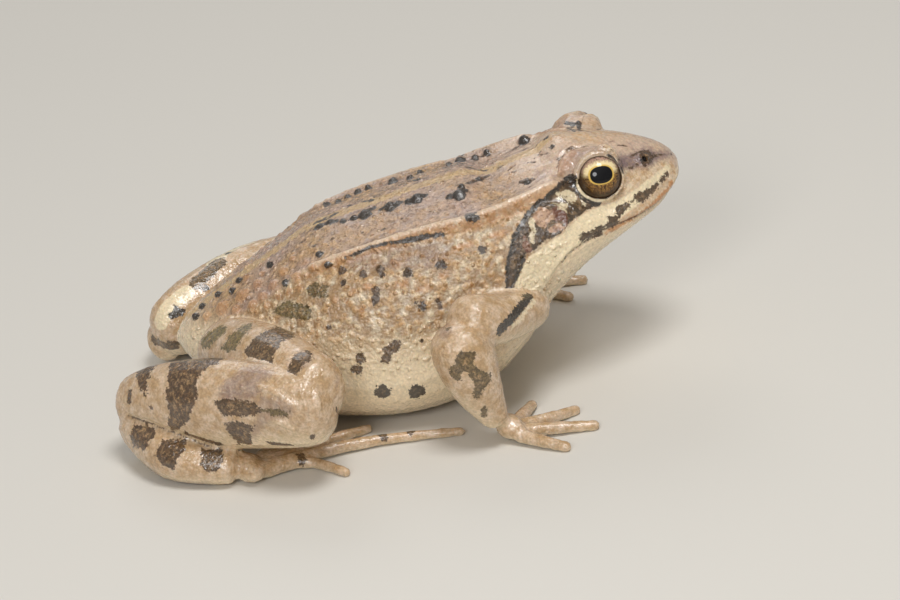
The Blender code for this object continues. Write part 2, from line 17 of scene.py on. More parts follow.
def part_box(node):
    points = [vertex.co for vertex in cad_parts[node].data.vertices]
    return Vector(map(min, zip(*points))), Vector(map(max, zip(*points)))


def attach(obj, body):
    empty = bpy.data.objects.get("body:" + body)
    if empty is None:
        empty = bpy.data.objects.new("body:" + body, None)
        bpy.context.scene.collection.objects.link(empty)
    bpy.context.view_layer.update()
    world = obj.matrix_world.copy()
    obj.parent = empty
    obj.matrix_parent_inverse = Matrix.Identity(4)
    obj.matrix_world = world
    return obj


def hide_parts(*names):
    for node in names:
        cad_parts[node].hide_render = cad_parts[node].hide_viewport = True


bl_info = {
    "name": "Life-size frog",
    "version": (1, 0, 0),
    "blender": (4, 5, 0),
    "location": "View3D > Sidebar > Frog",
    "description": "Models a frog's skin and eyes over its solids, with a plain studio round it",
    "category": "Object",
}

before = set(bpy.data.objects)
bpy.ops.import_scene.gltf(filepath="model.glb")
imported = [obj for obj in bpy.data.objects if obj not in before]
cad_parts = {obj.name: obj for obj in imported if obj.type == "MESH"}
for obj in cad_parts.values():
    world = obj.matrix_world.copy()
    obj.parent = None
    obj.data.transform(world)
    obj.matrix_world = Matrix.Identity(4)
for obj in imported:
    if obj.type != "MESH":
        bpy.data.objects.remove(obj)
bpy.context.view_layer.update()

MM = 0.001

# The solids' driving sizes: the straight axis, the neck's bend, and places on the left side of the head.
NECK_START = 33.0
NECK_END = 47.0
HEAD_PITCH = math.radians(18.0)
HEAD_YAW = math.radians(8.5)
AXIS_HEIGHT = 16.2
AXIS_REACH = (-8.0, 78.0)
AXIS_STEPS = 700
AXIS_ROUNDS = 14
EYE = (55.5, 6.4, 21.7)
EYE_FACING = (0.1, 0.94, 0.32)
FACING = np.array(EYE_FACING) / np.linalg.norm(EYE_FACING)
EYE_RADIUS = 3.05
SOCKET_RADIUS = 3.35
NOSTRIL = (61.4, 3.35, 19.3)
NOSTRIL_FACING = (0.3, 0.8, 0.5)
TYMPANUM = (48.0, 11.0, 21.3)
TYMPANUM_RADIUS = 1.9
MOUTH = [(40, 13.0), (44.5, 15.0), (46, 15.9), (49, 16.8), (52, 16.8), (55, 16.1), (58.5, 15.0),
         (61, 14.4), (63, 14.3), (67, 14.8)]
MOUTH_CORNER = 45.5
WIDEST_HEIGHT = [(-1.5, 9.5), (3, 9), (12, 8.5), (26, 8.5), (36, 10), (41, 13.5), (44.5, 15.8),
                 (50, 16.8), (54.5, 16.2), (58.5, 15.3), (62.3, 15), (65.5, 16)]
FOLD_OFFSET = [(-1.5, 1.0), (6, 5.6), (14, 8.0), (26, 9.2), (40, 9.0), (47, 8.4), (52, 7.2), (65.5, 1.5)]
JOINTS = {
    "right": {"hip": (4.2, -5.0, 9.6), "knee": (18.5, -27.6, 12.1), "heel": (-8.0, -10.6, 6.0),
              "foot": (6.2, -23.4, 2.1), "shoulder": (44.5, -9.5, 12.8), "elbow": (34.5, -20.3, 16.0),
              "wrist": (38.2, -21.5, 2.6)},
    "left": {"hip": (4.8, 5.2, 8.8), "knee": (20.0, 24.2, 7.7), "heel": (-5.2, 9.6, 5.6),
             "foot": (6.2, 24.0, 2.1), "shoulder": (45.5, 9.5, 12.8), "elbow": (36.2, 20.2, 14.8),
             "wrist": (39.2, 21.5, 2.6)},
}
SEGMENTS = {"thigh": ("hip", "knee"), "shank": ("knee", "heel"), "tarsus": ("heel", "foot"),
            "foot": ("foot", None), "upper_arm": ("shoulder", "elbow"), "forearm": ("elbow", "wrist"),
            "hand": ("wrist", None)}
# The middle and tip of each finger and toe, forwards and outwards of the wrist or of the foot's root.
DIGITS = {
    "wrist": [((3.2, -5.6), (4.3, -8.4)), ((6.4, -3.3), (9.8, -5.4)), ((7.6, -0.3), (12.0, -0.4)),
              ((5.2, 2.9), (8.2, 4.6))],
    "foot": [((3.8, -6.6), (5.4, -9.6)), ((6.8, -7.0), (10.2, -10.8)), ((9.8, -6.2), (16.0, -9.2)),
             ((14.8, -4.8), (27.6, -5.2)), ((7.8, -1.6), (13.2, 2.2))],
}
DIGIT_HEIGHTS = (0.85, 0.5)
FLESH = sorted(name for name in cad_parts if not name.startswith("eye"))

# The camera: where it stands, and the frame that a named pixel is counted in.
VIEW_AZIMUTH = math.radians(2.0)
VIEW_ELEVATION = math.radians(25.0)
VIEW_ROLL = math.radians(8.0)
VIEW_DISTANCE = 474.0
LENS = 150.0
SENSOR = 36.0
FRAME_WIDTH = 900
FRAME_HEIGHT = 600
AIM = (33.568, 0.0, 9.887)

# How black a mark is: 0 is olive, and any number between these is between their colours.
BROWN = 0.5
BLACK = 1.0

# The crease between the shank and the tarsus, in pixels.
LEG_CREASE = [(128, 416), (145, 421), (175, 433), (207, 446), (240, 450)]

# Dark patches: the part they are on, how black they are, and their outline in pixels.
DARK_PATCHES = {
    "temple mask": ("body", 0.72, [
        (573, 173), (566, 176), (561, 182), (556, 188), (547, 198), (537, 202), (530, 210), (523, 220),
        (516, 231), (511, 243), (508, 256), (506, 268), (507, 280), (505, 290), (512, 291), (516, 278),
        (522, 265), (526, 254), (535, 250), (542, 242), (552, 238), (562, 232), (569, 223), (577, 217),
        (584, 212), (597, 205), (590, 200), (583, 195), (578, 188)]),
    "shank middle band": ("shank", BROWN, [
        (172, 354), (190, 350), (207, 347), (222, 351), (225, 357), (220, 362), (210, 367), (202, 372),
        (196, 380), (197, 395), (194, 405), (190, 415), (187, 423), (177, 431), (171, 430), (168, 424),
        (170, 412), (167, 400), (164, 392), (169, 387), (167, 379)]),
    "shank rear band": ("shank", BROWN, [
        (172, 352), (160, 354), (150, 360), (141, 366), (136, 374), (138, 382), (141, 390), (145, 396),
        (148, 390), (146, 382), (150, 377), (149, 372), (156, 366), (163, 361), (174, 356)]),
    "shank upper patch": ("shank", 0.45, [
        (214, 402), (225, 398), (240, 400), (256, 403), (262, 410), (256, 415), (240, 417), (225, 416),
        (218, 410)]),
    "shank low patch": ("shank", 0.5, [
        (222, 423), (235, 421), (255, 426), (250, 435), (252, 444), (240, 445), (230, 435)]),
    "shank front smudge": ("shank", 0.25, [(262, 410), (276, 409), (290, 412), (289, 417), (272, 416)]),
    "thigh dark sheen": ("thigh", 0.42, [
        (312, 351), (300, 351), (292, 356), (290, 365), (286, 373), (292, 378), (300, 372), (303, 365),
        (312, 359)]),
    "thigh small olive": ("thigh", 0.2, [(275, 372), (289, 372), (290, 377), (280, 379)]),
    "nostril's surround": ("body", 0.55, [
        (640, 152), (646, 149), (652, 151), (654, 157), (651, 163), (645, 166), (640, 163), (638, 157)]),
    "lip blotch, front": ("body", 0.6, [
        (667, 172), (662, 177), (656, 183), (650, 188), (644, 190), (636, 193), (633, 199), (636, 204),
        (644, 203), (649, 197), (653, 192), (659, 186), (664, 181), (669, 175)]),
    "lip blotch, second": ("body", 0.65, [
        (614, 213), (617, 207), (623, 202), (632, 201), (629, 208), (620, 216)]),
    "lip blotch, third": ("body", 0.65, [
        (606, 226), (608, 218), (614, 215), (620, 216), (618, 224), (610, 229)]),
    "lip blotch, fourth": ("body", 0.7, [
        (588, 237), (591, 229), (598, 226), (605, 226), (603, 233), (595, 240)]),
    "lip blotch, rear": ("body", 0.7, [(578, 241), (581, 234), (589, 232), (589, 239), (582, 243)]),
    "spot at the fold": ("body", 0.95, [
        (464, 216), (470, 212), (477, 213), (480, 219), (472, 224), (467, 222)]),
    "thigh first bar": ("thigh", 0.12, [
        (226, 326), (217, 327), (207, 334), (200, 341), (202, 348), (210, 348), (213, 342), (221, 336),
        (227, 330)]),
    "thigh second bar": ("thigh", 0.15, [
        (251, 324), (242, 326), (232, 333), (226, 340), (221, 348), (227, 352), (236, 351), (238, 343),
        (243, 336), (251, 329)]),
    "thigh blotch": ("thigh", 0.42, [
        (295, 328), (285, 326), (272, 328), (262, 333), (251, 341), (245, 350), (248, 358), (257, 363),
        (265, 367), (273, 365), (273, 356), (278, 350), (281, 341), (294, 337)]),
    "tarsus first band": ("tarsus", BROWN, [
        (135, 420), (142, 419), (155, 425), (155, 435), (149, 443), (145, 451), (134, 447), (130, 435)]),
    "tarsus second band": ("tarsus", BROWN, [
        (162, 441), (172, 439), (186, 441), (185, 450), (178, 457), (174, 470), (162, 465), (155, 455)]),
    "tarsus third band": ("tarsus", 0.45, [
        (202, 449), (222, 449), (223, 460), (220, 468), (210, 473), (200, 467)]),
    "tarsus fourth band": ("tarsus", 0.45, [(247, 450), (260, 451), (257, 461), (247, 461)]),
    "forearm ring": ("forearm", 0.3, [
        (455, 355), (462, 351), (475, 352), (477, 357), (473, 362), (480, 370), (491, 374), (490, 383),
        (482, 391), (478, 399), (473, 397), (475, 387), (472, 380), (467, 373), (462, 372), (461, 381),
        (457, 383), (450, 376), (450, 367), (456, 364)]),
    "rump olive patch": ("body", 0.2, [
        (287, 301), (300, 304), (307, 305), (311, 312), (311, 319), (300, 320), (287, 317), (275, 315),
        (272, 310)]),
    "flank olive patch": ("body", 0.25, [(305, 290), (316, 282), (329, 287), (327, 297), (313, 298)]),
}

# Purplish patches: the part, how strong they are, and their outline in pixels. The sheens are painted
# reflections, and the upper lid's patch is painted shade.
PLUM_PATCHES = {
    "shank sheen": ("shank", 0.6, [
        (218, 396), (222, 384), (232, 376), (246, 366), (262, 366), (274, 373), (266, 380), (256, 384),
        (262, 392), (252, 400), (236, 402), (222, 402)]),
    "thigh sheen": ("thigh", 0.5, [
        (311, 351), (295, 352), (292, 365), (280, 372), (285, 380), (298, 373), (311, 362)]),
    "shank front sheen": ("shank", 0.45, [
        (252, 400), (262, 396), (280, 398), (294, 408), (292, 416), (276, 419), (262, 428), (256, 440),
        (248, 436), (256, 420), (260, 410)]),
    "bridge of the snout": ("body", 1.0, [
        (616, 157), (624, 155), (632, 153), (638, 151), (648, 147), (657, 151), (671, 152), (671, 156),
        (663, 159), (655, 163), (651, 167), (643, 168), (637, 168), (631, 171), (626, 169), (617, 173)]),
    "flank grey patch": ("body", 0.4, [
        (346, 261), (370, 252), (400, 246), (440, 238), (452, 246), (448, 262), (438, 270), (410, 268),
        (380, 270), (355, 272)]),
    "elbow sheen": ("forearm", 0.5, [
        (437, 330), (441, 322), (449, 322), (452, 332), (447, 340), (440, 338)]),
    "nape sheen": ("body", 0.5, [(534, 172), (541, 171), (545, 176), (542, 182), (534, 181)]),
    # Painted shade over the upper lid, which makes the lid stand out from the crown.
    "upper lid": ("body", 0.35, [
        (558, 172), (560, 163), (565, 155), (574, 150), (588, 147), (603, 147), (612, 152), (618, 160),
        (619, 170), (600, 180), (575, 182)]),
}

# Outlines on the head in pixels: the stripe on the lip, and cream patches.
LIP_STRIPE = [
    (512, 296), (515, 282), (523, 268), (529, 256), (538, 251), (552, 240), (563, 234), (571, 225),
    (585, 213), (600, 206), (617, 201), (640, 186), (660, 170), (668, 164), (672, 170), (660, 184),
    (640, 204), (615, 222), (590, 238), (575, 249), (562, 263), (552, 276), (542, 290), (528, 300)]
CREAM_PATCHES = {
    "cheek patch": [
        (553, 198), (556, 194), (560, 191), (568, 190), (577, 194), (579, 199), (574, 203), (569, 202),
        (566, 197), (561, 197), (557, 200)],
    "under-eye patch": [(579, 200), (583, 198), (588, 202), (587, 205), (582, 205)],
    "ear's upper rim": [(556, 205), (562, 202), (568, 205), (567, 209), (561, 208)],
}

# Patches of the eardrum: how dark they are, and their outline in pixels.
EAR_PATCHES = {
    "ear rear": (0.1, [
        (534, 213), (540, 207), (546, 208), (553, 213), (556, 218), (549, 222), (545, 229), (538, 226),
        (532, 219)]),
    "ear pink": (0.2, [(548, 229), (554, 224), (562, 223), (564, 229), (556, 233), (549, 232)]),
    "ear front": (0.95, [(549, 209), (557, 206), (566, 211), (568, 219), (567, 227), (562, 221), (556, 222),
                         (552, 215)]),
    "behind the ear": (0.7, [(524, 234), (530, 244), (533, 252), (526, 254), (522, 246)]),
}

# Rust patches by their outline in pixels, and rust lines by half their width in millimetres, their strength
# and their paths in pixels.
RUST_PATCHES = {
    "behind the lid": [
        (557, 173), (559, 161), (566, 152), (576, 149), (577, 155), (570, 162), (568, 172), (562, 178)],
    "behind the far lid": [
        (538, 135), (552, 126), (560, 117), (566, 113), (565, 124), (560, 136), (548, 141)],
}
RUST_STROKES = {
    "lip margin": (0.3, 0.85, [[(672, 183), (663, 195), (650, 207), (637, 215), (623, 223), (607, 232)]]),
    "flank": (0.4, 0.5, [
        [(392, 262), (399, 266)], [(455, 248), (470, 244)], [(492, 236), (505, 232)], [(366, 286),
        (374, 288)], [(362, 310)], [(420, 290), (428, 288)], [(345, 302)], [(400, 285), (406, 283)],
        [(440, 276), (447, 274)]]),
}

# Dark lines and spots: the part, how black, half the width in millimetres, and their paths in pixels.
DARK_STROKES = {
    "line under the fold": ("body", 0.85, 0.22, [
        [(346, 258), (368, 248), (385, 244), (407, 240), (441, 234)]]),
    "line under the fold, front": ("body", 0.9, 0.34, [[(404, 241), (424, 237), (442, 234)]]),
    "mask's upper edge": ("body", BLACK, 0.3, [
        [(575, 177), (566, 179), (560, 184), (553, 191), (546, 198), (539, 202), (533, 208), (527, 215),
        (521, 225), (514, 236)]]),
    "mask's rear edges": ("body", 0.9, 0.22, [
        [(513, 240), (509, 256), (507, 268), (507, 280), (507, 290)], [(525, 256), (520, 268), (517, 277),
        (512, 289)]]),
    "behind the eye": ("body", BLACK, 0.55, [[(573, 180), (580, 190), (590, 200), (597, 204)]]),
    "bridge edges": ("body", 0.55, 0.16, [
        [(618, 160), (632, 156), (641, 151)], [(638, 164), (631, 168), (622, 167)], [(655, 156),
        (672, 154)]]),
    "stripe row blotches": ("body", 0.85, 0.42, [
        [(316, 228), (324, 224), (336, 221)], [(351, 218), (362, 213), (374, 208)], [(381, 209), (391, 205),
        (400, 202)], [(408, 203), (417, 198), (425, 195)], [(448, 197), (456, 192), (466, 190)],
        [(462, 186)]]),
    "stripe row streaks": ("body", 0.6, 0.34, [
        [(468, 183), (478, 179), (488, 176)], [(520, 183), (527, 179), (534, 180)]]),
    "back flecks": ("body", 0.45, 0.2, [
        [(382, 230), (386, 228)], [(300, 243), (305, 240)], [(345, 236)], [(312, 247), (318, 244)],
        [(430, 212)], [(402, 219)], [(494, 200), (500, 198)], [(505, 186)], [(362, 233)], [(331, 240),
        (335, 237)], [(292, 262)]]),
    "upper arm streak": ("upper_arm", BLACK, 0.6, [[(530, 296), (520, 308), (509, 321), (500, 331)]]),
    "shoulder spot": ("body", 0.75, 0.6, [[(482, 250)]]),
    "upper flank spots": ("body", 0.75, 0.66, [[(441, 265)], [(408, 272)], [(421, 306)]]),
    "upper flank small spots": ("body", 0.7, 0.45, [
        [(382, 275)], [(362, 274)], [(343, 270)], [(343, 283)], [(376, 289), (376, 302)], [(329, 266)]]),
    "flank flecks": ("body", 0.6, 0.3, [
        [(438, 300), (441, 308)], [(422, 341)], [(434, 361)], [(329, 327)]]),
    "lower flank spot": ("body", 0.55, 0.62, [[(396, 345), (388, 351), (386, 360)]]),
    "lower flank pair": ("body", 0.55, 0.7, [[(360, 358)], [(357, 369)]]),
    "belly side spots": ("body", 0.8, 1.05, [[(383, 392)], [(417, 391)]]),
    "shank flecks": ("shank", BROWN, 0.4, [
        [(130, 392), (129, 402)], [(151, 407)], [(186, 434), (204, 440), (220, 444)], [(270, 443),
        (290, 445)]]),
    # Thin dark lines along the crease between the shank and the tarsus: painted shade in the crease.
    "line under the shank": ("shank", 0.6, 0.13, [LEG_CREASE]),
    "line over the tarsus": ("tarsus", 0.6, 0.13, [LEG_CREASE]),
    "knee flecks": ("shank", BROWN, 0.4, [[(313, 437)], [(337, 409)], [(335, 375)]]),
    "forearm flecks": ("forearm", 0.3, 0.42, [[(484, 409), (484, 415)], [(448, 329)]]),
    "wrist fleck": ("forearm", BLACK, 0.16, [[(505, 408)]]),
    # A black spot at a small pit below the nostril: painted shade in the pit.
    "nostril's lower pit": ("body", BLACK, 0.2, [[(641, 159.5)]]),
    # A thin dark line in the upper lid's crease: painted shade.
    "upper lid's crease": ("body", 0.4, 0.06, [
        [(557, 168), (559, 161), (564, 154), (573, 149), (588, 146), (603, 146), (612, 150), (618, 157)]]),
    "crown spots": ("body", 0.8, 0.34, [[(551, 146), (553, 147)]]),
    "crown flecks": ("body", 0.5, 0.15, [
        [(530, 149), (538, 147)], [(602, 140), (613, 142)], [(527, 163), (536, 162)], [(541, 155),
        (548, 153)], [(566, 150), (572, 147)], [(586, 138), (592, 137)], [(505, 160), (512, 158)],
        [(497, 168), (503, 166)], [(558, 159), (563, 156)], [(618, 145), (626, 146)], [(512, 172),
        (517, 171)]]),
    "toe bars": ("foot", 0.45, 0.5, [
        [(380, 432), (384, 437)], [(408, 427), (411, 433)], [(300, 455), (303, 462)]]),
}

# Marks of the left side alone: the same, and cream lines on the left leg by their paths.
LEFT_STROKES = {
    "left leg band": ("leg", 0.35, 1.0, [[(219, 262), (204, 276), (197, 283)]]),
    "left leg spots": ("leg", 0.95, 0.5, [
        [(206, 288), (210, 292)], [(228, 253)], [(172, 315), (183, 311)], [(176, 309)]]),
    # Painted shade under the left heel.
    "left heel shade": ("leg", 0.4, 0.8, [[(155, 340), (163, 345), (174, 345)]]),
    "left lid's blotch": ("head", 0.85, 0.34, [
        [(567, 122), (572, 125), (578, 123), (580, 128), (574, 131), (569, 128)]]),
    "left lid's spots": ("head", 0.6, 0.2, [[(578, 136), (573, 133)], [(597, 130), (600, 129)]]),
}
LEFT_LEG_CREAM = [[(160, 322), (172, 303), (186, 292)], [(213, 262), (228, 250), (246, 241)]]
LEFT_CREAM_WIDTH = 1.1

# Cream lines: the part, half the width in millimetres, and their paths in pixels.
CREAM_STROKES = {
    "ear streak": ("body", 0.3, [[(531, 221), (533, 230), (532, 241)]]),
    "temple streak": ("body", 0.22, [[(552, 203), (560, 206), (566, 211)]]),
    "upper arm edge": ("upper_arm", 0.3, [[(534, 300), (524, 314), (513, 327)]]),
}

# Creases and ridges: the part, the height and half the width in millimetres, and their paths in pixels.
CREASES = {
    "groin": ("thigh", -0.12, 0.2, [[(205, 339), (214, 330), (232, 323), (258, 320)]]),
    "groin, upper": ("body", -0.1, 0.2, [[(212, 322), (230, 316), (252, 314), (272, 318)]]),
    "under the shank": ("shank", -0.34, 0.34, [LEG_CREASE]),
    "over the tarsus": ("tarsus", -0.34, 0.34, [LEG_CREASE]),
    "knee ridges": ("shank", 0.34, 0.36, [
        [(258, 387), (270, 390), (283, 397), (291, 405)], [(264, 396), (276, 400), (285, 406)], [(300, 392),
        (306, 402), (307, 412)], [(268, 420), (280, 422), (292, 428)], [(316, 395), (319, 408)]]),
    "elbow": ("forearm", -0.1, 0.18, [
        [(434, 342), (438, 348), (438, 358)], [(441, 336), (449, 342), (458, 340)]]),
    "armpit": ("upper_arm", -0.1, 0.2, [[(452, 300), (460, 306), (468, 316)]]),
    "snout": ("body", -0.06, 0.15, [[(622, 178), (617, 190), (607, 200)]]),
    "nape": ("body", 0.08, 0.3, [
        [(500, 152), (520, 147), (540, 143)], [(505, 166), (525, 158), (548, 150)], [(515, 176), (535, 168),
        (552, 164)]]),
}

# Purplish painted shade on the legs: the part, half the width in millimetres, and the paths in pixels.
SHADE_STROKES = {
    "heel": ("tarsus", 1.1, [[(150, 470), (175, 484), (205, 488)]]),
    "thigh's rim": ("thigh", 0.25, [[(333, 365), (337, 387)]]),
}

# Dark warts: the side, radius and height in millimetres, how black, and their places in pixels. A left twin
# is the left side's own copy of a wart on the right.
WARTS = {
    "large, by the stripe": ("right", 1.0, 0.55, 0.95, [(459, 194), (417, 198), (390, 206), (365, 214)]),
    "small, by the stripe": ("right", 0.55, 0.34, 0.9, [
        (479, 179), (461, 186), (408, 201), (397, 203), (330, 222), (320, 226), (354, 218), (343, 221),
        (450, 196)]),
    "beyond the stripe": ("left", 0.9, 0.65, 0.95, [(393, 182), (460, 161), (524, 140)]),
    "small, beyond the stripe": ("left", 0.6, 0.5, 0.85, [
        (475, 158), (449, 165), (420, 173), (368, 188), (348, 197), (358, 192), (327, 205), (338, 202),
        (410, 178), (487, 153)]),
    "nape": ("right", 0.55, 0.3, 0.9, [(527, 182)]),
    "rump": ("right", 0.6, 0.4, 0.9, [
        (319, 254), (327, 265), (285, 283), (270, 264), (246, 263), (239, 280), (225, 275), (208, 288),
        (218, 294), (195, 316), (202, 306), (232, 290)]),
    "upper flank": ("right", 0.65, 0.32, 0.55, [
        (408, 271), (363, 274), (342, 270), (376, 290), (380, 269)]),
    "left side": ("left twin", 0.6, 0.4, 0.9, [
        (319, 254), (327, 265), (285, 283), (270, 264), (408, 271), (376, 290)]),
}

# Pale warts of both sides: the radius and height in millimetres, and their places in pixels.
PALE_WARTS = {
    "rump, large": (1.3, 0.4, [(241, 295), (221, 307)]),
    "rump, middling": (0.9, 0.36, [
        (272, 285), (295, 277), (257, 284), (262, 296), (252, 305), (218, 322), (206, 316), (283, 271),
        (236, 309)]),
    "rump, small": (0.6, 0.28, [
        (306, 276), (299, 287), (278, 296), (246, 277), (262, 273), (289, 291), (228, 318), (267, 304),
        (292, 258), (305, 262), (312, 268), (240, 318)]),
    "flank": (0.6, 0.26, [
        (392, 231), (365, 288), (352, 292), (393, 262), (372, 262), (335, 300), (397, 285)]),
}

# The upper lid, down to the eye's middle: its outline in pixels.
UPPER_LID = [
    (556, 175), (558, 163), (563, 154), (573, 149), (588, 146), (603, 146), (613, 151), (620, 160),
    (621, 170), (600, 180), (575, 182)]

# The lids' opening: the angle in degrees from the way the eye faces, at each bearing round the eye.
LID_OPENING = [(0, 51), (60, 56), (120, 58), (180, 62), (225, 68), (270, 71), (315, 60), (360, 51)]

# A distance that counts as far from any mark, and how far to the left the stripe runs along the body.
FAR = 4.0
STRIPE_OFFSET = [(0, 0.0), (12, 0.3), (20, 0.9), (34, 0.7), (44, 0.8), (54, 0.4)]

# Distances from the eyeball's centre, in millimetres: how far the lids reach, and the zones in which the
# grid's smoothing grows to its full strength, the lids' blending ends, and their sliding ends.
LID_REACH = 4.3
GRID_ZONE = (3.9, 5.5)
BLEND_ZONE = (5.4, 7.0)
SLIDE_ZONE = (4.0, 6.0)

# How near the eyeball a point counts as touching it, and how deep in it the socket's wall is drawn.
TOUCHING = 0.15
WALL_INSET = 0.06

# Angles in degrees from the way the eye faces: where the head begins round the eye, and where the lids end.
HEAD_ANGLES = (72, 86)
LID_ANGLE = 110

# The lids' sliding, in degrees: the step between bearings, its limits, and where it fades past the edge.
BEARING_STEP = 15
SLIDE_LIMITS = (-8, 20)
SLIDE_FADE = (5, 50)

# How fast the lids' wall thins, the upper lid's thickness and crease, and the left lid's share of both.
LID_THINNESS = 1.6
LID_THICKNESS = 0.3
LID_CREASE = 0.34
LEFT_LID_SHARE = 0.25

# Swellings beside an eye: how far ahead of its middle and over it, and how long, high and wide.
HOOD = (-4.6, 2.2, 2.4, 1.8, 3.2)
HOOD_HEIGHT = 1.0
BROW = (2.3, 2.4, 1.4, 1.4, 2.4)
LEFT_BROW = (2.1, 1.8, 2.0, 1.4, 2.4)
BROW_HEIGHT = 0.5

# The nape's hollow: its depth, where it starts and ends along the body, where it fades sideways, and the
# height that it stays above.
NAPE_HOLLOW = 1.25
NAPE_START = (37, 44)
NAPE_END = (50.0, 53.5)
NAPE_SIDES = (5.0, 8.5)
NAPE_FLOOR = 15

# Rounds of smoothing, and how far each half of a round moves a point towards its neighbours.
SMOOTHING_SHARES = (0.6, -0.62)
GRID_ROUNDS = (3, 12)
LID_ROUNDS = 8
HOOD_ROUNDS = 34
EDGE_ROUNDS = 5
ZONE_ROUNDS = 6

# Where the skin's points lie twice as close: round each eye and each nostril, in millimetres.
FINE_EYE = 5.6
FINE_NOSTRIL = 1.7

# Ribs and grooves: the height in millimetres, the distance from the line or point that they follow, and half
# their width. A groove's height is negative. The fold's own heights are shares of its height.
LID_FOLD = (0.06, 0.35, 0.2)
LID_FURROW = (-0.09, 0.8, 0.16)
UPPER_LID_GROOVE = (-LID_CREASE, 0.1, 0.28)
LIPS = (0.12, 0.55, 0.32)
NOSTRIL_RIM = (0.1, 0.62, 0.26)
NOSTRIL_SWELLING = (0.24, 0, 1.0)
EAR_RIM = (0.16, TYMPANUM_RADIUS, 0.28)
EAR_HOLLOW = (-0.1, 0, 1.2)
FOLD_CREST = (1, 0, 0.42)
FOLD_FURROW = (-0.5, -1.0, 0.5)

# Other small forms: half the mouth line's width, a nostril's depth and the zone of its wall, and the height
# and reach of a knuckle and of a pad.
MOUTH_LINE = 0.17
NOSTRIL_DEPTH = 0.9
NOSTRIL_WALL = (0.12, 0.46)
KNUCKLE = (0.13, 0.75)
PAD = (0.12, 0.7)

# A granule's half width as a share of the distance between granules, and what turns its place into a number.
GRANULE_SPREAD = 0.62
TINT_FACTORS = (127.1, 311.7, 74.7)
TINT_SCALE = 437.6

# Lines at the lids' edge, by their distance from it and half their width in millimetres, or the width alone.
EDGE_LINE = 0.2
CREAM_CRESCENT = (0.34, 0.17)
FRONT_LINE = (0.45, 0.2)

# Where the crescent starts and ends, in degrees round the eye, and how far from the front the last line ends.
CRESCENT_START = (150, 170)
CRESCENT_END = (240, 262)
FRONT_END = (25, 40)

# How the marks of the left side wander along the body: waves by axis, height, turns and phase.
WANDER = [(0, 0.8, 0.23, 1.0), (2, 0.4, 0.61, 0.0)]


def srgb(red, green, blue):
    """A colour given as seen on a screen, 0 to 255, as linear light."""
    shares = [v / 255 for v in (red, green, blue)]
    return tuple(v / 12.92 if v <= 0.04045 else ((v + 0.055) / 1.055) ** 2.4 for v in shares)


def size_property(name, description, default, low=0.0, high=10.0):
    return bpy.props.FloatProperty(name=name, description=description, default=default, min=low, max=high,
                                   subtype="FACTOR" if high == 1.0 else "NONE", precision=3)


def power_property(name, description, default):
    return bpy.props.FloatProperty(name=name, description=description, default=default, min=0.0,
                                   unit="POWER")


def colour_property(name, description, default):
    return bpy.props.FloatVectorProperty(name=name, description=description, default=default, size=3,
                                         subtype="COLOR", min=0.0, max=1.0)


class FrogSizes(bpy.types.PropertyGroup):
    """Sizes of the skin's forms, in millimetres."""

    grid: size_property("Grid", "Distance between the skin's points, mm", 0.27, 0.15, 1.0)
    bridge: size_property("Bridge", "How far the solids swell to close their gaps, mm", 0.19, 0.05, 0.4)
    fold_height: size_property("Fold", "Height of the crest along each side of the back, mm", 0.28, 0.0, 1.0)
    lip_depth: size_property("Mouth line", "Depth of the line of the mouth, mm", 0.3, 0.0, 0.6)
    granule_size: size_property("Granules", "Distance between the flank's granules, mm", 0.85, 0.3, 2.0)
    granule_height: size_property("Granule height", "Height of the flank's granules, mm", 0.22, 0.0, 0.3)
    triangles: bpy.props.IntProperty(name="Triangles", description="Most triangles in the skin",
                                     default=192000, min=20000, max=199000)


class FrogColours(bpy.types.PropertyGroup):
    """Colours of the skin and eyes."""

    back: colour_property("Back", "Skin between the two folds", srgb(190, 162, 144))
    flank: colour_property("Flank", "Skin below the folds", srgb(192, 154, 108))
    rust: colour_property("Rust", "Tips of the granules and the line under the fold", srgb(186, 128, 76))
    stripe: colour_property("Stripe", "Ragged stripe along the middle of the back", srgb(200, 166, 114))
    ear_pale: colour_property("Ear, pale", "Pale patches of the eardrum", srgb(210, 174, 144))
    ear_dark: colour_property("Ear, dark", "Red-brown patches of the eardrum", srgb(100, 54, 34))
    belly: colour_property("Belly", "Belly and lower flank", srgb(232, 212, 178))
    limb: colour_property("Limbs", "Arms and legs", srgb(180, 147, 106))
    # The pale limb colour also paints highlights on the granules' tips and along the fold's crest.
    limb_pale: colour_property("Pale limbs", "Lower and inner faces of arms and legs", srgb(214, 188, 160))
    cream: colour_property("Cream", "Lip stripe and pale patches", srgb(236, 218, 182))
    olive: colour_property("Olive marks", "The lightest marks", srgb(128, 112, 62))
    brown: colour_property("Brown marks", "Bands of the legs", srgb(88, 62, 36))
    black: colour_property("Black marks", "Warts, mask and streaks", srgb(28, 22, 15))
    # Plum is the colour of the snout's bridge, and also paints the sheens as painted reflections and painted
    # shade on the legs and lids.
    plum: colour_property("Plum", "Purplish sheen of the legs and snout", srgb(128, 106, 102))
    gold: colour_property("Gold", "Ring round the pupil, and flecks of the iris", srgb(222, 184, 92))
    amber: colour_property("Amber", "Iris below the pupil", srgb(142, 98, 46))
    iris_pale: colour_property("Iris, pale", "Crescent over the pupil", srgb(238, 218, 168))
    iris_rose: colour_property("Iris, rose", "Top of the iris", srgb(184, 148, 128))
    # The dark iris colour also paints the lids' shade on the iris's sides and rim.
    iris_dark: colour_property("Iris, dark", "Flecks and sides of the iris", srgb(58, 40, 22))


class StageSettings(bpy.types.PropertyGroup):
    """The plain floor and its light."""

    floor: colour_property("Floor", "The floor's colour", srgb(214, 210, 202))
    key: power_property("Key light", "Power of the large light", 1.5)
    fill: power_property("Fill light", "Power of the light from the other side", 0.9)
    sky: size_property("Sky", "Strength of the even light from all round", 0.32)


# Curves and places.


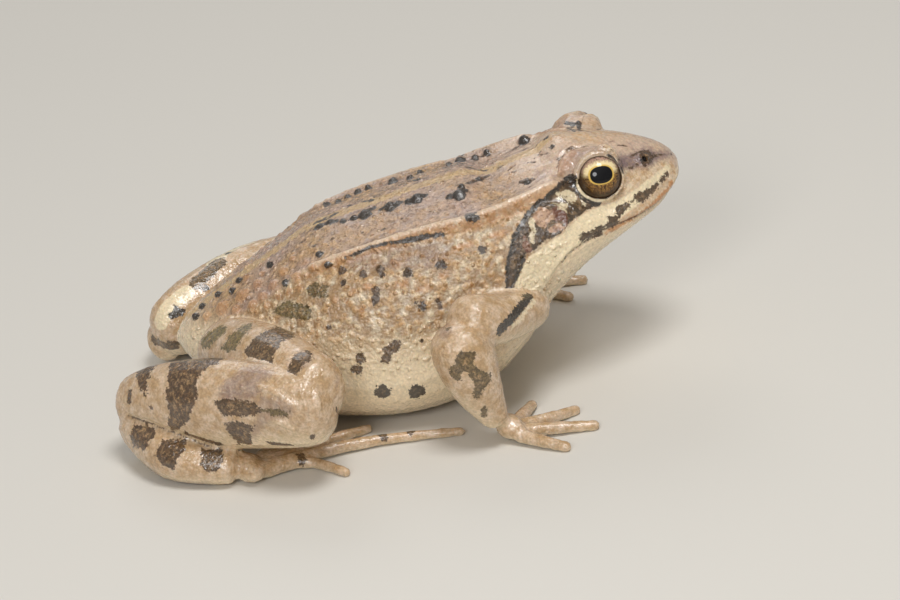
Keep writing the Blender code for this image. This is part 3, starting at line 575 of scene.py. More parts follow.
def smooth_curve(keys, at):
    """Values of a smooth curve through (place, value) keys, which never swings past them."""
    places, values = np.array(keys, float).T
    steps = np.diff(places)
    slopes = np.diff(values) / steps
    tangents = np.zeros(len(places))
    tangents[0] = slopes[0]
    tangents[-1] = slopes[-1]
    before = 2 * steps[1:] + steps[:-1]
    after = steps[1:] + 2 * steps[:-1]
    with np.errstate(divide="ignore", invalid="ignore"):
        eased = (before + after) / (before / slopes[:-1] + after / slopes[1:])
    tangents[1:-1] = np.where(slopes[:-1] * slopes[1:] > 0, eased, 0)
    i = np.clip(np.searchsorted(places, at) - 1, 0, len(steps) - 1)
    t = np.clip((at - places[i]) / steps[i], 0, 1)
    first = (1 + 2 * t) * (1 - t) ** 2 * values[i] + t * (1 - t) ** 2 * steps[i] * tangents[i]
    second = t * t * (3 - 2 * t) * values[i + 1] + t * t * (t - 1) * steps[i] * tangents[i + 1]
    return first + second


def eased(value, low, high):
    """0 at low, 1 at high, and smooth between them."""
    t = np.clip((value - low) / (high - low), 0, 1)
    return t * t * (3 - 2 * t)


def bell(offset, width):
    """1 in the middle, falling smoothly to 0 about two widths away."""
    return np.exp(-(offset / width) ** 2)


def rib(distance, height, at, width):
    """The height of a rib or groove that lies at one distance from a line or point."""
    return height * bell(distance - at, width)


def spine_table():
    """Stations along the bent axis, each with its origin, forward, left and up."""
    stations = np.linspace(*AXIS_REACH, AXIS_STEPS)
    turn = eased(stations, NECK_START, NECK_END)
    pitch = HEAD_PITCH * turn
    yaw = HEAD_YAW * turn
    forward = np.stack([np.cos(pitch) * np.cos(yaw), np.cos(pitch) * np.sin(yaw), np.sin(pitch)], 1)
    left = np.stack([-np.sin(yaw), np.cos(yaw), 0 * yaw], 1)
    up = np.cross(forward, left)
    moves = (forward[1:] + forward[:-1]) / 2 * np.diff(stations)[:, None]
    origin = np.vstack([np.zeros(3), np.cumsum(moves, axis=0)])
    origin += np.array([stations[0], 0, AXIS_HEIGHT])
    return stations, np.hstack([origin, forward, left, up])


SPINE_STATIONS, SPINE = spine_table()


def spine_at(station):
    """Origin, forward, left and up of the bent axis at each station."""
    columns = np.stack([np.interp(station, SPINE_STATIONS, column) for column in SPINE.T], 1)
    return columns[:, 0:3], columns[:, 3:6], columns[:, 6:9], columns[:, 9:12]


def bent(places):
    """Places along the straight axis, as points of the bent frog before it is centred on the floor."""
    places = np.atleast_2d(np.array(places, float))
    origin, forward, left, up = spine_at(places[:, 0])
    return origin + left * places[:, 1:2] + up * (places[:, 2:3] - AXIS_HEIGHT)


def on_right(place):
    return (place[0], -place[1], place[2])


def box_middle(node):
    low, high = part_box(node)
    return np.array((low + high) / 2) / MM


SHIFT = box_middle("eye_right") - bent(on_right(EYE))[0]


def placed(places):
    """Places along the straight axis, as points of the frame in millimetres."""
    return bent(places) + SHIFT


def straightened(points):
    """Points of the frame, as places along the straight axis."""
    points = points - SHIFT
    station = points[:, 0].copy()
    for _ in range(AXIS_ROUNDS):
        origin, forward, left, up = spine_at(station)
        station += ((points - origin) * forward).sum(1)
    origin, forward, left, up = spine_at(station)
    reach = points - origin
    return np.stack([station, (reach * left).sum(1), (reach * up).sum(1) + AXIS_HEIGHT], 1)


def direction_at(station, direction):
    """A direction given along the straight axis, turned as the axis is at that station."""
    origin, forward, left, up = spine_at(np.array([station]))
    turned = forward[0] * direction[0] + left[0] * direction[1] + up[0] * direction[2]
    return turned / np.linalg.norm(turned)


# The camera's frame.


def camera_axes():
    """The camera's right, up and backward directions."""
    back = np.array([math.sin(VIEW_AZIMUTH) * math.cos(VIEW_ELEVATION),
                     -math.cos(VIEW_AZIMUTH) * math.cos(VIEW_ELEVATION), math.sin(VIEW_ELEVATION)])
    level = np.array([math.cos(VIEW_AZIMUTH), math.sin(VIEW_AZIMUTH), 0])
    upright = np.cross(back, level)
    right = math.cos(VIEW_ROLL) * level - math.sin(VIEW_ROLL) * upright
    up = math.sin(VIEW_ROLL) * level + math.cos(VIEW_ROLL) * upright
    return right, up, back


CAMERA_RIGHT, CAMERA_UP, CAMERA_BACK = camera_axes()
CAMERA_PLACE = np.array(AIM) + SHIFT + CAMERA_BACK * VIEW_DISTANCE
PIXELS_PER_SLOPE = LENS / SENSOR * FRAME_WIDTH
PIXELS_PER_MM = PIXELS_PER_SLOPE / VIEW_DISTANCE


def pixels_of(points):
    """Where points of the frame show, in pixels."""
    reach = points - CAMERA_PLACE
    depth = -(reach @ CAMERA_BACK)
    across = FRAME_WIDTH / 2 + PIXELS_PER_SLOPE * (reach @ CAMERA_RIGHT) / depth
    down = FRAME_HEIGHT / 2 - PIXELS_PER_SLOPE * (reach @ CAMERA_UP) / depth
    return np.stack([across, down], 1)


def ray_through(pixel):
    """The direction from the camera through a pixel."""
    ray = (-CAMERA_BACK + CAMERA_RIGHT * (pixel[0] - FRAME_WIDTH / 2) / PIXELS_PER_SLOPE
           + CAMERA_UP * (FRAME_HEIGHT / 2 - pixel[1]) / PIXELS_PER_SLOPE)
    return ray / np.linalg.norm(ray)


# Meshes as arrays of millimetres.


def choose(*objects):
    """Selects these objects alone, the first one active."""
    bpy.ops.object.select_all(action="DESELECT")
    for obj in objects:
        obj.select_set(True)
    bpy.context.view_layer.objects.active = objects[0]


def apply_modifier(obj, kind, **settings):
    step = obj.modifiers.new(kind.title(), kind)
    for name, value in settings.items():
        setattr(step, name, value)
    choose(obj)
    bpy.ops.object.modifier_apply(modifier=step.name)


def read_points(mesh):
    flat = np.empty(len(mesh.vertices) * 3, np.float32)
    mesh.vertices.foreach_get("co", flat)
    return flat.reshape(-1, 3).astype(float) / MM


def write_points(mesh, points):
    mesh.vertices.foreach_set("co", (points * MM).astype(np.float32).ravel())
    mesh.update()


def read_normals(mesh):
    flat = np.empty(len(mesh.vertices) * 3, np.float32)
    mesh.vertex_normals.foreach_get("vector", flat)
    return flat.reshape(-1, 3).astype(float)


def read_edges(mesh):
    flat = np.empty(len(mesh.edges) * 2, np.int32)
    mesh.edges.foreach_get("vertices", flat)
    return flat.reshape(-1, 2)


def neighbour_means(values, edges):
    """The mean of each point's neighbours' values."""
    count = len(values)
    links = np.bincount(edges.ravel(), minlength=count)
    means = np.empty_like(values)
    for k in range(values.shape[1]):
        column = np.bincount(edges[:, 0], values[edges[:, 1], k], count)
        column += np.bincount(edges[:, 1], values[edges[:, 0], k], count)
        means[:, k] = column / np.maximum(links, 1)
    return means


def smoothed(points, edges, rounds, weight=1.0):
    """Smooths without shrinking: each round draws the points in and lets them out again."""
    weight = np.broadcast_to(np.asarray(weight, float), (len(points),))[:, None]
    for _ in range(rounds):
        for share in SMOOTHING_SHARES:
            points = points + (neighbour_means(points, edges) - points) * share * weight
    return points


def keep_largest(obj):
    """Keeps only the largest loose piece of the mesh."""
    choose(obj)
    bpy.ops.mesh.separate(type="LOOSE")
    pieces = list(bpy.context.selected_objects)
    pieces.sort(key=lambda piece: len(piece.data.vertices))
    for piece in pieces[:-1]:
        bpy.data.objects.remove(piece)
    return pieces[-1]


# Which solid each point of the skin belongs to, and its twin on the right side.


def flesh_tree():
    """A search tree over the flesh solids, with the number of the solid that each triangle is of."""
    points = []
    triangles = []
    owners = []
    for number, name in enumerate(FLESH):
        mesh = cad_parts[name].data
        start = len(points)
        points += [tuple(p) for p in read_points(mesh)]
        for face in mesh.polygons:
            triangles.append([start + i for i in face.vertices])
            owners.append(number)
    return BVHTree.FromPolygons(points, triangles), owners


def owners_of(points):
    """The number of the solid nearest to each point."""
    tree, owners = flesh_tree()
    return np.array([owners[tree.find_nearest(p)[2]] for p in points])


def part_of(name):
    """The kind of part: thigh, shank and so on, or body for the trunk, head, jaw and ears."""
    for part in SEGMENTS:
        if name.startswith(part):
            return part
    return "body"


def segment_frame(side, part):
    """Start, length and the three directions of a limb's segment; the third points out of the body."""
    first, last = SEGMENTS[part]
    start = np.array(JOINTS[side][first]) + SHIFT
    axis = np.array([1.0, 0, 0]) if last is None else np.array(JOINTS[side][last]) + SHIFT - start
    length = 1.0 if last is None else np.linalg.norm(axis)
    ahead = axis / np.linalg.norm(axis)
    up = np.array([0, 0, 1.0]) - ahead * ahead[2]
    up /= np.linalg.norm(up)
    out = np.cross(ahead, up) if side == "right" else np.cross(up, ahead)
    return start, length, ahead, up, out


def to_the_right(points):
    """Points of the trunk and head, mirrored on to the right; the left side's marks wander a little."""
    places = straightened(points)
    wander = eased(places[:, 1], 0, 3) * (1 - eased(places[:, 0], 44, 48))
    waves = sum(height * np.sin(turns * places[:, axis] + phase) for axis, height, turns, phase in WANDER)
    places[:, 0] += wander * waves
    places[:, 1] = -np.abs(places[:, 1])
    return placed(places)


def twins_on_right(points, owners):
    """For each point, the point of the frog's right side that has the same marks."""
    twins = points.copy()
    for number, name in enumerate(FLESH):
        here = np.flatnonzero(owners == number)
        part = part_of(name)
        if part == "body":
            twins[here] = to_the_right(points[here])
        elif name.endswith("left"):
            start, length, ahead, up, out = segment_frame("left", part)
            reach = points[here] - start
            share = (reach @ ahead) / length
            height = reach @ up
            depth = reach @ out
            start, length, ahead, up, out = segment_frame("right", part)
            along = start + np.outer(share * length, ahead)
            twins[here] = along + np.outer(height, up) + np.outer(depth, out)
    return twins


# Distances to marks.


def path_distance(points, path):
    """The distance of each point from a path, in millimetres."""
    best = np.full(len(points), 1e9)
    path = list(path) + [path[0]] * (len(path) == 1)
    for start, end in zip(path[:-1], path[1:]):
        step = end - start
        span = max(float(step @ step), 1e-9)
        share = np.clip(((points - start) @ step) / span, 0, 1)
        best = np.minimum(best, np.linalg.norm(points - start - share[:, None] * step, axis=1))
    return best


def outline_distance(pixels, outline):
    """The distance from a closed outline in pixels, negative inside it, in millimetres."""
    outline = np.array(outline, float)
    best = np.full(len(pixels), 1e9)
    inside = np.zeros(len(pixels), bool)
    for start, end in zip(outline, np.roll(outline, -1, axis=0)):
        step = end - start
        share = np.clip(((pixels - start) @ step) / (step @ step), 0, 1)
        best = np.minimum(best, np.linalg.norm(pixels - start - share[:, None] * step, axis=1))
        crosses = (start[1] > pixels[:, 1]) != (end[1] > pixels[:, 1])
        with np.errstate(divide="ignore", invalid="ignore"):
            at = start[0] + (pixels[:, 1] - start[1]) * step[0] / step[1]
        inside ^= crosses & (pixels[:, 0] < at)
    return np.where(inside, -best, best) / PIXELS_PER_MM


class Skin:
    """The skin's points with what marks and forms are placed by."""

    def __init__(self, mesh):
        self.mesh = mesh
        self.points = read_points(mesh)
        self.normals = read_normals(mesh)
        self.edges = read_edges(mesh)
        self.owners = owners_of(self.points)
        self.names = np.array([part_of(name) for name in FLESH])[self.owners]
        self.sides = np.array([name.rsplit("_", 1)[-1] for name in FLESH])[self.owners]
        self.twins = twins_on_right(self.points, self.owners)
        self.pixels = pixels_of(self.twins)
        self.straight = straightened(self.points)
        polygons = [tuple(face.vertices) for face in mesh.polygons]
        self.tree = BVHTree.FromPolygons([tuple(p) for p in self.points], polygons)

    def hit(self, pixel):
        """The point of the skin that shows at a pixel, or the nearest one to its ray."""
        ray = ray_through(pixel)
        place = self.tree.ray_cast(CAMERA_PLACE, ray)[0]
        if place is None:
            reach = self.points - CAMERA_PLACE
            along = reach @ ray
            off = np.linalg.norm(reach - np.outer(along, ray), axis=1)
            place = self.points[np.argmin(off)]
        return np.array(place)

    def path(self, pixels, part="body"):
        """A path through the skin's points at these pixels; one on the trunk is mirrored to the right."""
        places = np.array([self.hit(pixel) for pixel in pixels])
        return to_the_right(places) if part == "body" else places

    def is_on(self, part):
        return self.names == part

    def spot_distance(self, side, spot):
        """The distance from a wart on one side of the trunk, or from the left twin of one on the right."""
        y = self.straight[:, 1]
        if side == "left twin":
            return np.where(y > 0, np.linalg.norm(self.twins - self.path([spot]), axis=1), FAR)
        there = (y > -1) if side == "left" else (y < 1)
        return np.where(there, np.linalg.norm(self.points - self.hit(spot), axis=1), FAR)

    def eye_centres(self):
        """The nearer eyeball's centre, for each point."""
        left = self.straight[:, 1:2] > 0
        return np.where(left, box_middle("eye_left"), box_middle("eye_right"))

    def update(self):
        """Gives the mesh the moved points, and reads its new normals."""
        write_points(self.mesh, self.points)
        self.normals = read_normals(self.mesh)

    def move(self, amounts):
        """Moves each point along its normal."""
        self.points = self.points + self.normals * amounts[:, None]
        self.update()

    def relax(self, shares):
        """Moves each point a share of the way to the middle of its neighbours."""
        means = neighbour_means(self.points, self.edges)
        self.points = self.points + (means - self.points) * shares[:, None]


# The skin's shape.


def copy_of_solid(name):
    """A merged copy of a solid, free of the frame."""
    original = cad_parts[name]
    mesh = original.data.copy()
    mesh.materials.clear()
    copy = bpy.data.objects.new("flesh", mesh)
    bpy.context.scene.collection.objects.link(copy)
    choose(copy)
    bpy.ops.object.mode_set(mode="EDIT")
    bpy.ops.mesh.select_all(action="SELECT")
    bpy.ops.mesh.remove_doubles(threshold=1e-6)
    bpy.ops.object.mode_set(mode="OBJECT")
    return copy


def join_solids(sizes):
    """One closed surface round all the flesh, with the gaps between the solids bridged."""
    copies = [copy_of_solid(name) for name in FLESH]
    for copy in copies:
        apply_modifier(copy, "DISPLACE", strength=sizes.bridge * MM, mid_level=0.0)
    choose(*copies)
    bpy.ops.object.join()
    skin = bpy.context.view_layer.objects.active
    apply_modifier(skin, "REMESH", mode="VOXEL", voxel_size=sizes.grid * MM, adaptivity=0.0)
    skin = keep_largest(skin)
    skin.name = "skin"
    skin.data.name = "skin"
    return skin


def eye_distance(points):
    """The distance from the nearer eye's centre, in millimetres."""
    centres = [box_middle("eye_right"), box_middle("eye_left")]
    return np.min([np.linalg.norm(points - centre, axis=1) for centre in centres], axis=0)


def settle(skin_object, sizes):
    """Smooths the steps of the grid, and draws the surface back by what the solids were swollen."""
    mesh = skin_object.data
    edges = read_edges(mesh)
    points = read_points(mesh)
    near_eye = 1 - eased(eye_distance(points), *GRID_ZONE)
    points = smoothed(points, edges, GRID_ROUNDS[0])
    points = smoothed(points, edges, GRID_ROUNDS[1], 1 - 0.8 * near_eye)
    write_points(mesh, points)
    points = points - read_normals(mesh) * sizes.bridge
    write_points(mesh, points)


def beside_eye(skin):
    """Each point's reach from the nearer eye's centre (forwards, outwards, up), its length, and its angle in
    degrees from the way that the eye faces."""
    s, y, z = skin.straight.T
    reach = np.stack([s - EYE[0], np.abs(y) - EYE[1], z - EYE[2]], 1)
    distance = np.linalg.norm(reach, axis=1)
    angle = np.degrees(np.arccos(np.clip(reach @ FACING / distance, -1, 1)))
    return reach, distance, angle


def lid_edge(skin):
    """Each point's bearing round the eye in degrees (0 in front, 90 above, 180 behind, 270 below), and the
    angle from the way the eye faces at which the lids' free edge lies at that bearing."""
    reach, distance, angle = beside_eye(skin)
    upright = np.array([0, 0, 1.0]) - FACING * FACING[2]
    upright /= np.linalg.norm(upright)
    forward = np.cross(FACING, upright)
    forward *= math.copysign(1, forward[0])
    bearing = np.degrees(np.arctan2(reach @ upright, reach @ forward)) % 360
    touching = (distance < EYE_RADIUS + TOUCHING) & (angle < LID_ANGLE)
    stations = np.arange(0, 361, BEARING_STEP)
    edges = []
    for station in stations:
        near = touching & (np.abs((bearing - station + 180) % 360 - 180) < BEARING_STEP)
        edges.append(np.percentile(angle[near], 4))
    return bearing, np.interp(bearing, stations, edges)


def from_lid_edge(skin):
    """Each point's distance from the lids' free edge, and its bearing round the eye."""
    reach, distance, angle = beside_eye(skin)
    bearing, edge = lid_edge(skin)
    along = np.radians(angle - edge) * EYE_RADIUS
    off = np.hypot(np.maximum(along, 0), np.maximum(distance - EYE_RADIUS, 0))
    return np.where((distance < LID_REACH) & (angle < LID_ANGLE), off, FAR), bearing


def slide_lids(skin):
    """Slides the lids' free edge along the eyeball, so that the opening has its own shape."""
    reach, distance, angle = beside_eye(skin)
    bearing, edge = lid_edge(skin)
    slide = np.clip(edge - np.interp(bearing, *zip(*LID_OPENING)), *SLIDE_LIMITS)
    slide *= (1 - eased(angle - edge, *SLIDE_FADE)) * (1 - eased(distance, *SLIDE_ZONE)) * skin.is_on("body")
    turned = np.radians(angle - slide)[:, None]
    outward = reach / distance[:, None]
    sideways = outward - FACING * (outward @ FACING)[:, None]
    sideways /= np.linalg.norm(sideways, axis=1)[:, None]
    places = np.array(EYE) + distance[:, None] * (np.cos(turned) * FACING + np.sin(turned) * sideways)
    places[:, 1] *= np.sign(skin.straight[:, 1])
    moved = slide != 0
    skin.points[moved] = placed(places[moved])
    skin.update()
    skin.straight = straightened(skin.points)


def swelling(reach, ahead, over, long, high, wide):
    """A soft swelling beside the eye: 1 in its middle and 0 far from it."""
    return bell(reach[:, 0] - ahead, long) * bell(reach[:, 2] - over, high) * bell(reach[:, 1], wide)


def blend_lids(skin):
    """Blends the lids into the head, with a hood behind each eye, a brow before it and a hollow nape."""
    s, y, z = skin.straight.T
    reach, distance, angle = beside_eye(skin)
    beside = skin.is_on("body") * eased(angle, *HEAD_ANGLES)
    round_eye = 0.5 * beside * (1 - eased(distance, *BLEND_ZONE))
    above = eased(reach[:, 2] - 0.5 * reach[:, 0], -1.0, 1.5)
    for count in range(HOOD_ROUNDS):
        skin.relax(round_eye if count < LID_ROUNDS else round_eye * above)
    brow = np.where(y > 0, swelling(reach, *LEFT_BROW), swelling(reach, *BROW))
    outward = eased((skin.normals * (skin.points - skin.eye_centres())).sum(1), 0, 1) * beside
    skin.move((HOOD_HEIGHT * swelling(reach, *HOOD) + BROW_HEIGHT * brow) * outward)
    nape = eased(s, *NAPE_START) * (1 - eased(s, *NAPE_END)) * (1 - eased(np.abs(y), *NAPE_SIDES))
    skin.points[:, 2] -= NAPE_HOLLOW * nape * (z > NAPE_FLOOR) * skin.is_on("body")
    skin.update()


def refine(skin_object):
    """Halves the distance between the skin's points round the eyes and the nostrils."""
    mesh = skin_object.data
    points = read_points(mesh)
    near = eye_distance(points) < FINE_EYE
    for nostril in (NOSTRIL, on_right(NOSTRIL)):
        near |= np.linalg.norm(points - placed(nostril)[0], axis=1) < FINE_NOSTRIL
    choose(skin_object)
    bpy.ops.object.mode_set(mode="EDIT")
    bpy.ops.mesh.select_mode(type="FACE")
    bpy.ops.mesh.select_all(action="DESELECT")
    bpy.ops.object.mode_set(mode="OBJECT")
    chosen = [bool(near[list(face.vertices)].all()) for face in mesh.polygons]
    mesh.polygons.foreach_set("select", chosen)
    bpy.ops.object.mode_set(mode="EDIT")
    bpy.ops.mesh.subdivide(number_cuts=1, smoothness=0.0)
    bpy.ops.object.mode_set(mode="OBJECT")


def shape_lids(skin):
    """Closes the gap round the eyeball, and gives the lids' opening its shape."""
    # The socket's wall is drawn against the eyeball, and the lids' edge most of the way.
    reach, distance, angle = beside_eye(skin)
    inner = EYE_RADIUS - WALL_INSET
    share = np.clip((distance - SOCKET_RADIUS) / (LID_REACH - SOCKET_RADIUS), 0, 1)
    drawn = inner + (LID_REACH - inner) * share ** LID_THINNESS
    drawn = np.where(distance < LID_REACH, drawn, distance)
    centres = skin.eye_centres()
    skin.points = centres + (skin.points - centres) * (drawn / distance)[:, None]
    skin.update()
    skin.straight = straightened(skin.points)
    slide_lids(skin)
    off, bearing = from_lid_edge(skin)
    near = 0.5 * (1 - eased(off, 0.35, 0.8)) * skin.is_on("body")
    for _ in range(EDGE_ROUNDS):
        skin.relax(near)
    skin.update()


def lid_forms(skin):
    """A thick upper lid with a crease round it, and a fold outside the lower lid's edge."""
    off, bearing = from_lid_edge(skin)
    lower = eased(bearing, 215, 250) * (1 - eased(bearing, 340, 358))
    fold = lower * (rib(off, *LID_FOLD) + rib(off, *LID_FURROW))
    from_crease = outline_distance(skin.pixels, UPPER_LID)
    thick = 1 - eased(from_crease, -0.5, 0.1)
    above = skin.is_on("body") * eased(beside_eye(skin)[0][:, 2], 0.2, 1.0)
    above *= np.where(skin.straight[:, 1] > 0, LEFT_LID_SHARE, 1)
    return fold + above * (LID_THICKNESS * thick + rib(from_crease, *UPPER_LID_GROOVE))


def mouth_forms(skin, sizes):
    """The groove of the mouth with a lip over and under it."""
    s, y, z = skin.straight.T
    offset = z - smooth_curve(MOUTH, s)
    there = eased(s, MOUTH_CORNER - 1.2, MOUTH_CORNER + 1.0) * skin.is_on("body")
    return there * (rib(np.abs(offset), *LIPS) + rib(offset, -sizes.lip_depth, 0, MOUTH_LINE))


def nostril_distance(skin):
    """The distance from the nearer nostril's axis, and the way into it."""
    distance = np.full(len(skin.points), FAR)
    inward = np.zeros((len(skin.points), 3))
    for place, facing in ((NOSTRIL, NOSTRIL_FACING), (on_right(NOSTRIL), on_right(NOSTRIL_FACING))):
        axis = direction_at(place[0], facing)
        reach = skin.points - placed(place)[0]
        along = reach @ axis
        off = np.linalg.norm(reach - np.outer(along, axis), axis=1)
        off = np.where(np.abs(along) < 2, off, FAR)
        inward[off < distance] = -axis
        distance = np.minimum(distance, off)
    return distance, inward


def sink_nostrils(skin):
    """Two round holes with a raised rim, each on a low swelling."""
    distance, inward = nostril_distance(skin)
    skin.move(rib(distance, *NOSTRIL_RIM) + rib(distance, *NOSTRIL_SWELLING))
    depth = NOSTRIL_DEPTH * (1 - eased(distance, *NOSTRIL_WALL))
    skin.points = skin.points + inward * depth[:, None]
    skin.update()


def ear_forms(skin):
    """The eardrum's raised rim, and its middle a little sunken."""
    amount = np.zeros(len(skin.points))
    for place in (TYMPANUM, on_right(TYMPANUM)):
        distance = np.linalg.norm(skin.points - placed(place)[0], axis=1)
        amount += rib(distance, *EAR_RIM) + rib(distance, *EAR_HOLLOW)
    return amount


def dorsal_distance(skin):
    """How far inside the crest of the fold each point of the trunk is, towards the middle of the back."""
    s, y, z = skin.straight.T
    inside = smooth_curve(FOLD_OFFSET, s) + 0.35 - np.abs(y)
    below = z - smooth_curve(WIDEST_HEIGHT, s)
    return np.where(below > 0, inside, -6.0)


def fold_forms(skin, sizes):
    """A crest along each side of the back, with a furrow under it."""
    s = skin.straight[:, 0]
    there = eased(s, 13, 20) * (1 - eased(s, 50, 53)) * skin.is_on("body")
    inside = dorsal_distance(skin)
    return there * sizes.fold_height * (rib(inside, *FOLD_CREST) + rib(inside, *FOLD_FURROW))


def dome(distance, radius):
    """A rounded bump: 1 in the middle, 0 from the radius on."""
    t = np.clip(1 - (distance / radius) ** 2, 0, 1)
    return t ** 1.5


def wart_forms(skin):
    """A dome under each dark or pale wart."""
    amount = np.zeros(len(skin.points))
    for side, radius, height, tone, spots in WARTS.values():
        for spot in spots:
            distance = skin.spot_distance(side, spot)
            amount = np.maximum(amount, height * dome(distance, radius * 1.15))
    for radius, height, spots in PALE_WARTS.values():
        for spot in spots:
            distance = path_distance(skin.twins, skin.path([spot]))
            amount = np.maximum(amount, height * dome(distance, radius * 1.15))
    return amount * skin.is_on("body")


def crease_forms(skin):
    """Creases sink, and ridges rise."""
    amount = np.zeros(len(skin.points))
    for part, height, reach, paths in CREASES.values():
        for path in paths:
            distance = path_distance(skin.twins, skin.path(path, part))
            amount += height * bell(distance, reach) * skin.is_on(part)
    return amount


def digit_forms(skin):
    """Knuckles along each finger and toe, and a small pad at its tip."""
    amount = np.zeros(len(skin.points))
    for side in ("right", "left"):
        out = -1 if side == "right" else 1
        for base, digits in DIGITS.items():
            start = np.array(JOINTS[side][base])
            for digit in digits:
                middle, tip = [np.array([start[0] + x, start[1] + y * out, height]) + SHIFT
                               for (x, y), height in zip(digit, DIGIT_HEIGHTS)]
                bumps = [(middle, KNUCKLE), ((middle + tip) / 2, KNUCKLE),
                         (tip * 0.8 + middle * 0.2, KNUCKLE), (tip, PAD)]
                for place, (height, reach) in bumps:
                    distance = np.linalg.norm(skin.points - place, axis=1)
                    amount = np.maximum(amount, height * bell(distance, reach))
    return amount


def grain_amount(skin):
    """How granular the skin is: most on the upper flank and rump, least on the head, belly and feet."""
    s, y, z = skin.straight.T
    trunk = skin.names == "body"
    inside = dorsal_distance(skin)
    flank = (1 - eased(inside, -0.6, 0.4)) * eased(z, 5, 13)
    back = eased(inside, -0.6, 0.4) * 0.6
    amount = np.where(trunk, np.maximum(flank, back), 0.18)
    amount *= 1 - 0.8 * eased(s, 44, 50) * trunk
    below = trunk & (z < 6)
    amount[below] = np.maximum(amount[below], 0.3)
    return amount


def granules(skin, sizes):
    """How far each point is from the middle of its granule (0 to about 1), and a number for that granule."""
    far = np.zeros(len(skin.points))
    tint = np.zeros(len(skin.points))
    for i, point in enumerate(skin.points):
        distances, centres = noise.voronoi(Vector(point) / sizes.granule_size)
        far[i] = distances[0]
        turn = sum(value * factor for value, factor in zip(centres[0], TINT_FACTORS))
        tint[i] = math.sin(turn) * TINT_SCALE % 1.0
    return far / GRANULE_SPREAD, tint


def granule_forms(skin, sizes):
    """Small domes all over, as high as the skin is granular there."""
    far, tint = granules(skin, sizes)
    heights = (1 - eased(far, 0.15, 0.95)) * (0.6 + 0.5 * tint)
    return heights * grain_amount(skin) * sizes.granule_height


def sculpt(skin_object, sizes):
    """Adds the forms that are too small for the solids."""
    blend_lids(Skin(skin_object.data))
    refine(skin_object)
    skin = Skin(skin_object.data)
    shape_lids(skin)
    sink_nostrils(skin)
    skin.move(fold_forms(skin, sizes) + mouth_forms(skin, sizes) + ear_forms(skin) + lid_forms(skin))
    skin.move(wart_forms(skin) + crease_forms(skin) + digit_forms(skin) + granule_forms(skin, sizes))
    points = skin.points
    points[:, 2] = np.maximum(points[:, 2], 0)
    write_points(skin.mesh, points)


def thin_out(skin_object, sizes):
    """Takes points out of the flattest places until the skin is within its number of triangles."""
    count = sum(len(face.vertices) - 2 for face in skin_object.data.polygons)
    if count > sizes.triangles:
        apply_modifier(skin_object, "DECIMATE", decimate_type="COLLAPSE", ratio=sizes.triangles / count,
                       use_collapse_triangulate=True)


# The skin's marks.


def store(mesh, name, values):
    attribute = mesh.attributes.new(name, "FLOAT", "POINT")
    attribute.data.foreach_set("value", np.asarray(values, np.float32))


